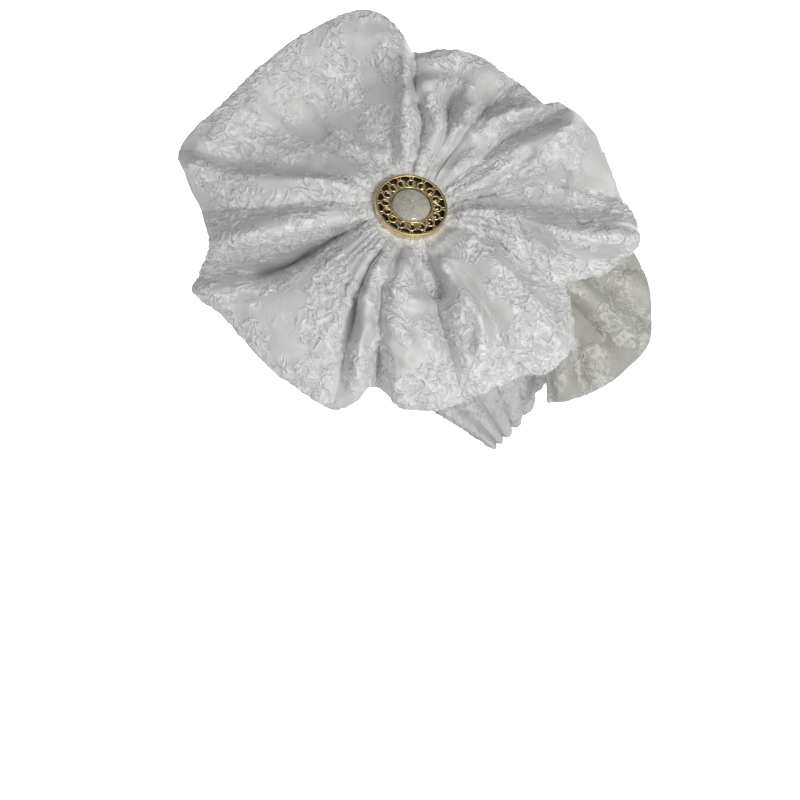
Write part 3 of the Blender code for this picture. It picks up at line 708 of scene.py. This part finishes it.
def crease_height(creases, flat, radius):
    """How far the creases raise or sink a gathered cloth, at places in its own flat view."""
    total = np.zeros(len(flat))
    for width, height, *path in creases.values():
        angle, reach = np.array(path).T
        bends = around(np.radians(angle), (1, 0), (0, 1)) * reach[:, None]
        away = np.full(len(flat), np.inf)
        for start, end in zip(bends, bends[1:]):
            along = end - start
            share = np.clip((flat - start) @ along / (along @ along), 0, 1)
            away = np.minimum(away, np.linalg.norm(flat - start - share[:, None] * along, axis=1))
        total += height * np.exp(-(away * radius / width) ** 2)
    return total * smooth(*CREASE_FADE, np.linalg.norm(flat, axis=1))


class Place(namedtuple("Place", "seat radius cloth creases lean")):
    """Places points of a gathered cloth about its seat, and keeps the cloth clear of the cap."""

    def __call__(self, angle, reach, lift):
        """Points from their angles, reaches and lifts, with the lean of the cloth."""
        back = reach * np.cos(angle)
        up = reach * np.sin(angle)
        offset = np.stack([FOLD_DEPTH * lift + self.lean(back, up), back, up], axis=1)
        return clear_of_cap(self.seat + self.radius * offset, self.cloth)

    def settle(self, points):
        """Adds the finer ridges and creases."""
        moved = points.copy()
        moved[:, 0] += crease_height(self.creases, (points - self.seat)[:, 1:] / self.radius, self.radius)
        return clear_of_cap(moved, self.cloth)


def flower_lean(back, up):
    """How far the flower's cloth leans out, as a share of its radius."""
    curl = np.where(up > 0, CROWN_CURL, EAR_DROOP)
    turn = BROOCH_NORMAL[1] / BROOCH_NORMAL[0] * back * np.clip(1 - np.abs(back), 0, 1) ** 2
    return curl * up * np.abs(up) - LEAN * up - turn - WRAP * back**2


def ruffle_lean(back, up):
    """How far the ruffle leans: outward below, and in behind the head to the rear."""
    return -RUFFLE_OUT * up - RUFFLE_IN * back**2


FLOWER_PLACE = Place(FLOWER_SEAT, FLOWER_RADIUS, FLOWER_CLOTH, FLOWER_CREASES, flower_lean)
RUFFLE_PLACE = Place(RUFFLE_TOP, RUFFLE_RADIUS, RUFFLE_CLOTH, RUFFLE_CREASES, ruffle_lean)


def flower_root(neck_angle):
    """The flower's innermost row: a round under the brooch's edge."""
    even = neck_angle[0] + np.linspace(0, 2 * np.pi, len(neck_angle), endpoint=False)
    return FLOWER_SEAT + ROOT_RADIUS * around((even + neck_angle) / 2, *plane_axes(BROOCH_NORMAL))


def ruffle_root(neck_angle):
    """The ruffle's innermost row, inside its own hub."""
    return RUFFLE_PLACE(neck_angle, RUFFLE_ROOT_REACH, 0.0)


# The cloth's relief

def gathers(across, out, numbers, closed):
    """Irregular ridges from the root outward, many and sharp at first, few and soft towards the rim."""
    total = np.zeros(len(across))
    for number, (share, wander, seed, fade, fade_span) in zip(numbers, GATHERS):
        place = np.stack([across * number, np.zeros(len(across)), out * wander], axis=1)
        if closed:
            place[:, :2] = around(2 * np.pi * across, (1, 0), (0, 1)) * (number / (2 * np.pi))
        ridges = 1 - GATHER_SHARPNESS * np.abs(noise(place, 1.0, seed))
        total += share * ridges * (1 - fade * smooth(*fade_span, out))
    return GATHER_HEIGHT * total


def dress_cloth(piece, extra, crinkle_share=1.0, dent_share=1.0):
    """Raises the crinkle, the dents and the given heights on a cloth, and paints its patches and its
    crinkle's crests, which the material turns into a painted highlight.
    """
    points = read_points(piece)
    ridges, patch = crinkle(points)
    dents = rough(points, DENT_SIZE, *DENT_FINER, DENT_SEED)
    heights = crinkle_share * CRINKLE_HEIGHT * ridges + dent_share * DENT_HEIGHT * dents + extra
    heights *= BACK_SHARE + (1 - BACK_SHARE) * read(piece, "side")
    move_points(piece, points + stored(piece.data.vertex_normals, "vector", 3) * heights[:, None])
    paint(piece.data, "patch", patch)
    # The crinkle's crests, which the cloth material paints lighter as a painted highlight
    paint(piece.data, "ridge", np.clip(ridges, 0, 1))


# The flower

def make_flower():
    """The gathered flower: its face, its rolled edge, its back and the stitched root under it."""
    surface = Gathered(FLOWER_FOLDS, FLOWER_PLACE, flower_root, NECK_REACH, True)
    rows = MeshRows()

    def skin(out, columns, depth=0.0, reach=0.0, side=1.0):
        across = np.arange(columns) / columns
        points = surface(across, out)
        if depth or reach:
            normal, outward = side_axes(surface, across, out)
            points = points - normal * depth + outward * reach
        rows.add(points, across, out, side)

    outs = np.linspace(0, 1, FLOWER_ROWS)
    for out in outs:
        skin(out, FLOWER_COLUMNS // (4 if out < HALF_FROM else 2 if out < ALL_FROM else 1))
    half = DOUBLED_CLOTH / 2
    for share in np.arange(1, EDGE_STEPS) / EDGE_STEPS:
        angle = math.pi * share
        skin(1.0, FLOWER_COLUMNS, half * (1 - math.cos(angle)), half * math.sin(angle), 1 - share / 2)
    for out in outs[::-BACK_STEP]:
        skin(out, FLOWER_COLUMNS // (2 if out > ALL_FROM else 4), DOUBLED_CLOTH, side=0.0)
    hub_columns = FLOWER_COLUMNS // 4
    across = np.arange(hub_columns) / hub_columns
    turn = 2 * np.pi * across + math.radians(FLOWER_FOLDS["rear crease"].neck_deg)
    ring = HUB_FOOT_RADIUS * around(turn, *plane_axes(SEAT_NORMAL))
    for level in HUB_LEVELS:
        rows.add(FLOWER_FOOT + (FLOWER_SEAT - FLOWER_FOOT) * level + ring, across, side=0.0)
    rows.tip(FLOWER_FOOT, side=0.0)
    rows.tip(FLOWER_SEAT, start=True)
    piece = rows.build("gathered_flower")
    across, out = read(piece, "across"), read(piece, "out")
    clear = ROOT_SHARE + (1 - ROOT_SHARE) * smooth(*ROOT_FADE, out)
    dress_cloth(piece, gathers(across, out, FLOWER_GATHERS, True) * clear, clear, clear)
    return piece


# The rear ruffle

def make_ruffle():
    """The rear fan of doubled cloth, with rounded edges all round, and its small root on the cap."""
    surface = Gathered(RUFFLE_FOLDS, RUFFLE_PLACE, ruffle_root, RUFFLE_NECK_REACH, False)
    rows = MeshRows()
    half = DOUBLED_CLOTH / 2
    face = np.linspace(0, 1, RUFFLE_COLUMNS)
    inner = np.clip(face, OUT_STEP, 1 - OUT_STEP)
    bend = np.radians(RUFFLE_BEND_DEG)
    side = np.repeat([1.0, 0.0, 1.0], [len(face) + len(bend), len(face), len(bend)])
    across = np.concatenate([face, np.ones(len(bend)), face[::-1], np.zeros(len(bend))])

    def loop(out, thick, reach):
        normal, outward = side_axes(surface, inner, out)
        middle = surface(face, out) - normal * half + outward * reach
        along = unit(np.gradient(middle, axis=0))
        depth = half * thick
        far = middle[-1] + depth * around(bend, along[-1], normal[-1])
        near = middle[0] + depth * around(bend[::-1], -along[0], normal[0])
        top, under = middle + normal * depth, middle - normal * depth
        rows.add(np.vstack([top, far, under[::-1], near]), across, out, side)

    for out in np.linspace(RUFFLE_START, 1, RUFFLE_ROWS):
        loop(out, 1.0, 0.0)
    for angle in np.arange(1, EDGE_STEPS + 1) * math.pi / 2 / EDGE_STEPS:
        loop(1.0, math.cos(angle), half * math.sin(angle))
    rows.tip(surface(np.array([0.5]), RUFFLE_START)[0], side=0.0, start=True)
    piece = rows.build("rear_fan", RUFFLE_MERGE)
    dress_cloth(piece, gathers(read(piece, "across"), read(piece, "out"), RUFFLE_GATHERS, False))
    return piece


# The cap

def into_cap(row):
    """Unit directions from the hem into the cap, across each point of its row."""
    along = np.roll(row, -1, axis=0) - np.roll(row, 1, axis=0)
    into = unit(np.cross(egg_normal(row + OPENING_CENTRE), along))
    return into * np.sign(into[:, 2:])


def make_cap():
    """The pleated cap: crinkled outside, gathered at its hem, plain inside."""
    rows = MeshRows()
    planes = pleat_rows(CAP_STEPS)

    def loop(plane_deg, rise, columns, depth=0.0, drop=0.0, side=1.0):
        points = cap_loop(plane_deg, rise, columns)
        moved = points - egg_normal(points + OPENING_CENTRE) * depth - into_cap(points) * drop
        rows.add(moved, np.arange(columns) / columns, plane_deg / 180, side)

    for plane in (*planes[::-BACK_STEP], planes[0]):
        loop(*plane, CAP_COLUMNS // 4, CAP_WALL, side=0.0)
    for angle in np.arange(EDGE_STEPS - 1, 0, -1) * math.pi / EDGE_STEPS:
        loop(*planes[0], CAP_COLUMNS, CAP_WALL / 2 * (1 - math.cos(angle)), CAP_WALL / 2 * math.sin(angle))
    for plane_deg, rise in planes:
        loop(plane_deg, rise, CAP_COLUMNS // (1 if plane_deg < CAP_ALL_TO_DEG else 2))
    tip = cap_loop(LAST_PLANE_DEG, 0.0, 4).mean(axis=0)
    rows.tip(tip)
    rows.tip(tip - egg_normal(tip + OPENING_CENTRE) * CAP_WALL, side=0.0, start=True)
    piece = rows.build("pleated_cap")
    turn, plane_deg = read(piece, "across") * 2 * np.pi, read(piece, "out") * 180
    nape = (1 + np.cos(turn)) / 2
    place = np.column_stack([plane_deg / CAP_FOLD_DEG, CAP_FOLD_ROUND * around(turn, (1, 0), (0, 1))])
    folds = 1 - CAP_FOLD_SHARPNESS * np.abs(noise(place, 1.0, CAP_FOLD_SEED))
    heights = CAP_FOLD_HEIGHT * folds * (CAP_FOLD_FRONT + (1 - CAP_FOLD_FRONT) * nape)
    hem = 1 - smooth(0.0, HEM_DEG, plane_deg - RIM_DEG)
    heights += HEM_GATHER_HEIGHT * hem * (np.abs(np.sin(turn * HEM_GATHERS / 2)) - 0.5)
    offset = read_points(piece) + OPENING_CENTRE - NAPE_LINE
    apart = smooth(*NAPE_FADE, np.hypot(offset[:, 1], offset[:, 2]))
    dress_cloth(piece, heights * apart, CAP_CRINKLE * apart, CAP_DENTS)
    return piece


# The brooch, in its own axes: rearward, upward and outward

BROOCH_AXES = np.array([*plane_axes(BROOCH_NORMAL), BROOCH_NORMAL])
BROOCH_ORIGIN = FLOWER_SEAT + BROOCH_NORMAL * CLEARANCE


def ring_row(radius, height, columns, mill=0.0):
    """A round of points, with the milled teeth as deep as told."""
    turn = 2 * np.pi * np.arange(columns) / columns
    size = radius + mill * np.cos(turn * MILL_TEETH)
    return np.stack([size * np.cos(turn), size * np.sin(turn), np.full(columns, height)], axis=1)


def tube(rings):
    """The rows of a body through rings of points, with flat ends."""
    rows = MeshRows()
    for ring in rings:
        rows.add(ring)
    rows.faces += [tuple(range(len(rings[0]))), tuple(range(rows.last[0], rows.count))]
    return rows


def rounded(corners, radius, steps=4):
    """A profile with each inner corner rounded off."""
    corners = [np.array(corner) for corner in corners]
    path = [corners[0]]
    for before, corner, after in zip(corners, corners[1:], corners[2:]):
        back, ahead = before - corner, after - corner
        reach = min(radius, np.linalg.norm(back) / 2.2, np.linalg.norm(ahead) / 2.2)
        first, last = corner + unit(back) * reach, corner + unit(ahead) * reach
        for t in np.linspace(0, 1, steps):
            path.append(first * (1 - t) ** 2 + corner * 2 * t * (1 - t) + last * t**2)
    path.append(corners[-1])
    return path


def turned(name, profile, columns, plain_to=math.inf):
    """A turned body from its profile, from the axis up and over to the axis again."""
    rows = MeshRows()
    for radius, height in profile[1:-1]:
        milled = radius > plain_to and height > BROOCH_HEIGHT * MILL_FROM
        rows.add(ring_row(radius, height, columns, MILL_DEPTH * milled))
    rows.tip([0.0, 0.0, profile[-1][1]])
    rows.tip([0.0, 0.0, profile[0][1]], start=True)
    return rows.build(name)


def wire(path, radius, sides):
    """A round wire along a path, with round ends."""
    along = unit(np.gradient(path, axis=0))
    across = unit(np.cross(along, [0.0, 0.0, 1.0]))
    lift = np.cross(across, along)
    turn = 2 * np.pi * np.arange(sides) / sides
    end = radius * WIRE_END
    centres = [path[0] - along[0] * end, *path, path[-1] + along[-1] * end]
    frames = [0, *range(len(path)), len(path) - 1]
    sizes = radius * np.array([WIRE_END_SIZE, *[1.0] * len(path), WIRE_END_SIZE])
    frames = zip(centres, sizes, frames)
    return tube([centre + size * around(turn, across[at], lift[at]) for centre, size, at in frames])


def scroll_path():
    """The first scroll: a ring that curls in to its own hook, opening towards the stone."""
    t = np.linspace(0, 1, SCROLL_STEPS)
    bend = np.radians(SCROLL_START_DEG + t * SCROLL_SWEEP_DEG)
    hook = smooth(HOOK_FROM, 1.0, t)
    radius = SCROLL_RADIUS * (1 - (1 - HOOK_SHARE) * hook)
    level = SCROLL_LEVEL + HOOK_RISE * hook
    return np.stack([SCROLL_CENTRE + radius * np.cos(bend), radius * np.sin(bend), level], axis=1)


def strut_path(lean):
    """A short bar from the first scroll out to the rim."""
    t = np.linspace(0, 1, STRUT_STEPS)
    start = SCROLL_CENTRE + SCROLL_RADIUS * STRUT_START
    radius = start + (BROOCH_RADIUS - BROOCH_RIM - start) * t
    turn = lean * (STRUT_FOOT + (1 - STRUT_FOOT) * t) / radius
    return np.column_stack([around(turn, (1, 0), (0, 1)) * radius[:, None], t * 0 + SCROLL_LEVEL])


def cup():
    """The dark round inside the first scroll, just over the dish's web."""
    levels = (WEB_LEVEL - CUP_RISE, WEB_LEVEL + CUP_RISE)
    return tube([ring_row(CUP_RADIUS, level, CUP_SIDES) + [SCROLL_CENTRE, 0.0, 0.0] for level in levels])


def make_scrolls():
    """The ring of scrolls, each with its cup and its two struts."""
    bodies = [wire(scroll_path(), SCROLL_WIRE, WIRE_SIDES), cup()]
    for lean in (-STRUT_LEAN, STRUT_LEAN):
        bodies.append(wire(strut_path(lean), STRUT_WIRE, STRUT_SIDES))
    rows = MeshRows()
    for turn_deg in np.arange(SCROLLS) * 360 / SCROLLS:
        spin = np.array([direction(0, turn_deg), direction(0, turn_deg + 90), (0, 0, 1)])
        for body in bodies:
            rows.faces += [tuple(rows.count + corner for corner in face) for face in body.faces]
            rows.extend(np.vstack(body.points) @ spin, 0.0, 0.0, 1.0)
    return rows.build("brooch_scrolls")


def make_brooch():
    """The brooch: the dish with its rim and bezel, the ring of scrolls in it, and the stone."""
    pocket = STONE_RADIUS + CLEARANCE
    bezel = pocket + BEZEL_WALL
    inner = BROOCH_RADIUS - BROOCH_RIM
    outline = [
        (0.0, 0.0), (BROOCH_RADIUS, 0.0), (BROOCH_RADIUS + RIM_BULGE, BROOCH_HEIGHT * RIM_BULGE_LEVEL),
        (BROOCH_RADIUS, BROOCH_HEIGHT), (inner, BROOCH_HEIGHT), (inner, BROOCH_FLOOR),
        (WEB_RADIUS, BROOCH_FLOOR), (WEB_RADIUS, WEB_LEVEL), (bezel, WEB_LEVEL), (bezel, BROOCH_HEIGHT),
        (pocket, BROOCH_HEIGHT), (pocket, BROOCH_FLOOR), (0.0, BROOCH_FLOOR),
    ]
    dish = turned("brooch_dish", rounded(outline, EDGE_ROUNDING), DISH_COLUMNS, inner)
    scrolls = make_scrolls()
    foot = BROOCH_FLOOR + CLEARANCE
    dome = [(0.0, foot), (STONE_RADIUS, foot)]
    for angle in np.radians(np.linspace(0, 90, STONE_ROWS)):
        dome.append((STONE_RADIUS * math.cos(angle), foot + STONE_GIRDLE + STONE_DOME * math.sin(angle)))
    stone = turned("cabochon", dome, STONE_COLUMNS)
    for piece in (dish, scrolls, stone):
        points = read_points(piece)
        outside = np.hypot(points[:, 0], points[:, 1]) > inner - RIM_EASE
        height = np.where(outside, 1.0, points[:, 2] / BROOCH_HEIGHT)
        if piece is scrolls:
            height[points[:, 2] < WEB_LEVEL + 2 * CUP_RISE] = 0.0
        paint(piece.data, "height", height)
        move_points(piece, BROOCH_ORIGIN + points @ BROOCH_AXES)
    return dish, scrolls, stone


# Materials

class Graph:
    """A material's nodes, added and linked in short lines."""

    def __init__(self, name):
        self.material = bpy.data.materials.new(name)
        self.material.use_nodes = True
        self.nodes = self.material.node_tree.nodes
        self.place = self.add("ShaderNodeTexCoord").outputs["Object"]

    def put(self, socket, value):
        """Links a socket to another node's output, or sets its plain value."""
        if isinstance(value, bpy.types.NodeSocket):
            self.material.node_tree.links.new(value, socket)
        else:
            socket.default_value = (*value, 1.0) if socket.type == "RGBA" else value

    def add(self, kind, inputs=None, **settings):
        node = self.nodes.new(kind)
        for name, value in settings.items():
            setattr(node, name, value)
        for name, value in (inputs or {}).items():
            self.put(node.inputs[name], value)
        return node

    def noise(self, size, detail=2.0, roughness=0.5, distortion=0.0):
        return self.add("ShaderNodeTexNoise", {
            "Vector": self.place, "Scale": 1 / size, "Detail": detail, "Roughness": roughness,
            "Distortion": distortion,
        }).outputs["Fac"]

    def worms(self, size, width, share):
        """Short winding ridges: 1 along their crests and 0 between them, times a share."""
        away = self.math("ABSOLUTE", self.math("SUBTRACT", self.noise(size, 2.0, 0.45, 1.1), 0.5), 0.0)
        return self.math("MULTIPLY", self.span(away, 0.0, width, 1.0, 0.0), share)

    def mark(self, name):
        return self.add("ShaderNodeAttribute", attribute_name=name).outputs["Fac"]

    def math(self, operation, first, second):
        return self.add("ShaderNodeMath", {0: first, 1: second}, operation=operation).outputs[0]

    def span(self, value, low, high, to_low=0.0, to_high=1.0):
        return self.add("ShaderNodeMapRange", {
            "Value": value, "From Min": low, "From Max": high, "To Min": to_low, "To Max": to_high,
        }).outputs["Result"]

    def blend(self, share, first, second):
        return self.add("ShaderNodeMix", {"Factor": share, 6: first, 7: second}, data_type="RGBA").outputs[2]

    def bump(self, height, distance, strength=1.0, normal=None):
        inputs = {"Height": height, "Distance": distance, "Strength": strength}
        if normal is not None:
            inputs["Normal"] = normal
        return self.add("ShaderNodeBump", inputs).outputs["Normal"]

    def surface(self, **inputs):
        """The material, with the shader's inputs by name, a low line for each space."""
        for name, value in inputs.items():
            self.put(self.nodes["Principled BSDF"].inputs[name.replace("_", " ")], value)
        return self.material


# warm is the colour of the painted shade between the crinkle's crests, light the colour of the painted
# highlight on them
def cloth_material(name, warm, light):
    """White crinkled cloth: smooth satin fields among dull crinkled patches, with a fine weave over both. Its
    colour is blended from a painted shade between the crinkle's crests to a painted highlight on them, with a
    random mottle.
    """
    graph = Graph(name)
    patch = graph.mark("patch")
    broad = graph.worms(*BROAD_WORMS, graph.span(patch, 0.1, 0.7, 0.12, 1.0))
    small = graph.worms(*SMALL_WORMS, graph.span(patch, 0.2, 0.9, 0.10, 1.0))
    normal = graph.bump(broad, BROAD_DEPTH)
    normal = graph.bump(small, SMALL_DEPTH, 1.0, normal)
    normal = graph.bump(graph.noise(WEAVE_SIZE, 1.0), WEAVE_DEPTH, 0.35, normal)
    # Painted highlight: the crests of the raised crinkle in the patches and the broad winding ridges are
    # painted lighter, and the cloth between them darker as painted shade
    crests = graph.math("MULTIPLY", graph.mark("ridge"), patch)
    high = graph.math("ADD", graph.math("MULTIPLY", broad, 0.8), crests)
    high = graph.math("ADD", high, graph.span(graph.noise(MOTTLE_SIZE, 3.0, 0.6), 0.3, 0.7, -0.15, 0.25))
    color = graph.blend(graph.span(high, 0.0, 1.0), warm, light)
    satin_to_dull = graph.span(patch, 0.0, 1.0, 0.42, 0.78)
    return graph.surface(
        Base_Color=color, Roughness=satin_to_dull, Normal=normal, Sheen_Weight=0.18, Sheen_Roughness=0.4,
    )


def gold_material(name, dark_from, dark_to):
    """Antique gold: bright on its high edges, with brown patina down in its recesses."""
    graph = Graph(name)
    wear = graph.noise(WEAR_SIZE, 3.0, 0.6)
    level = graph.math("ADD", graph.mark("height"), graph.span(wear, 0.3, 0.7, -0.08, 0.08))
    share = graph.span(level, dark_from, dark_to)
    return graph.surface(
        Base_Color=graph.blend(share, PATINA, graph.blend(graph.span(wear, 0.35, 0.65), *GOLD)),
        Roughness=graph.span(share, 0.0, 1.0, 0.62, 0.27),
        Normal=graph.bump(graph.noise(GRAIN_SIZE), GRAIN_DEPTH, 0.6),
        Metallic=graph.span(share, 0.0, 1.0, 0.35, 1.0),
    )


def stone_material():
    """A milky cabochon: cloudy, faintly warm, with a few glints inside."""
    graph = Graph("milky stone")
    cloud = graph.noise(CLOUD_SIZE, 3.0, 0.6, 1.2)
    glint = graph.span(graph.noise(GLINT_SIZE, 1.0), 0.66, 0.74)
    return graph.surface(
        Base_Color=graph.blend(glint, graph.blend(graph.span(cloud, 0.35, 0.7), *STONE), GLINT),
        Roughness=graph.span(cloud, 0.3, 0.7, 0.22, 0.36),
        Subsurface_Weight=0.25,
        Subsurface_Scale=0.003,
        Coat_Weight=0.25,
    )


# The pieces, on the frame

flower = make_flower()
ruffle = make_ruffle()
cap = make_cap()
dish, scrolls, stone = make_brooch()

for piece, node, slot, material in (
    (flower, "flower", "crinkle_cloth", cloth_material("white crinkle cloth", *WHITE_CLOTH_SHADE_AND_HIGHLIGHT)),
    # The rear fan and the cap get darker copies of the white cloth, as painted shade
    (ruffle, "rear_ruffle", "crinkle_cloth", cloth_material("rear crinkle cloth", *REAR_CLOTH_PAINTED_SHADE)),
    (cap, "cap", "crinkle_cloth", cloth_material("nape crinkle cloth", *NAPE_CLOTH_PAINTED_SHADE)),
    (dish, "brooch_setting", "antique_gold", gold_material("antique gold dish", *DISH_PATINA)),
    (scrolls, "brooch_setting", "antique_gold", gold_material("antique gold scrolls", *SCROLL_PATINA)),
    (stone, "brooch_stone", "milky_stone", stone_material()),
):
    piece.data.materials.append(material)
    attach(piece, "root")
    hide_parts(node)

for post_slot in bpy.data.objects["brooch_post"].material_slots:
    post_slot.material = gold_material("antique gold post", *NO_PATINA)


# Camera, light and floor

def make_stage():
    """A plain pale floor that turns up into a backdrop all round."""
    rows = MeshRows()
    for radius, height in STAGE_PROFILE:
        rows.add(ring_row(radius, FLOOR_LEVEL + height, STAGE_COLUMNS))
    stage = rows.build("pale_floor")
    graph = Graph("pale floor")
    color = graph.blend(graph.noise(FLOOR_SIZE), *FLOOR)
    stage.data.materials.append(graph.surface(Base_Color=color, Roughness=0.9))


def make_camera():
    """The photograph's view: level, straight at the wearer's left side."""
    camera = bpy.data.cameras.new("camera")
    camera.sensor_width = 36.0
    camera.lens = camera.sensor_width * CAMERA_DISTANCE / VIEW_WIDTH
    place = (CAMERA_DISTANCE, VIEW_REARWARD, VIEW_LEVEL)
    bpy.context.scene.camera = add_item("camera", camera, place, np.radians((90.0, 0.0, 90.0)))


def make_light():
    """Soft studio light: a low key rearward on the camera's side, a fill, a rim and a lit backdrop."""
    for name, (place, size, power, color, target) in LIGHTS.items():
        lamp = bpy.data.lights.new(name, "AREA")
        lamp.shape = "DISK"
        lamp.size = size
        lamp.energy = power
        lamp.color = color
        aim = Vector(target) - Vector(place)
        add_item(name, lamp, place, aim.to_track_quat("-Z", "Y").to_euler())
    world = bpy.data.worlds.new("studio")
    world.use_nodes = True
    background = world.node_tree.nodes["Background"]
    background.inputs["Color"].default_value = (*WORLD_COLOR, 1.0)
    background.inputs["Strength"].default_value = WORLD_STRENGTH
    bpy.context.scene.world = world
    bpy.context.scene.view_settings.view_transform = "Standard"


make_stage()
make_camera()
make_light()
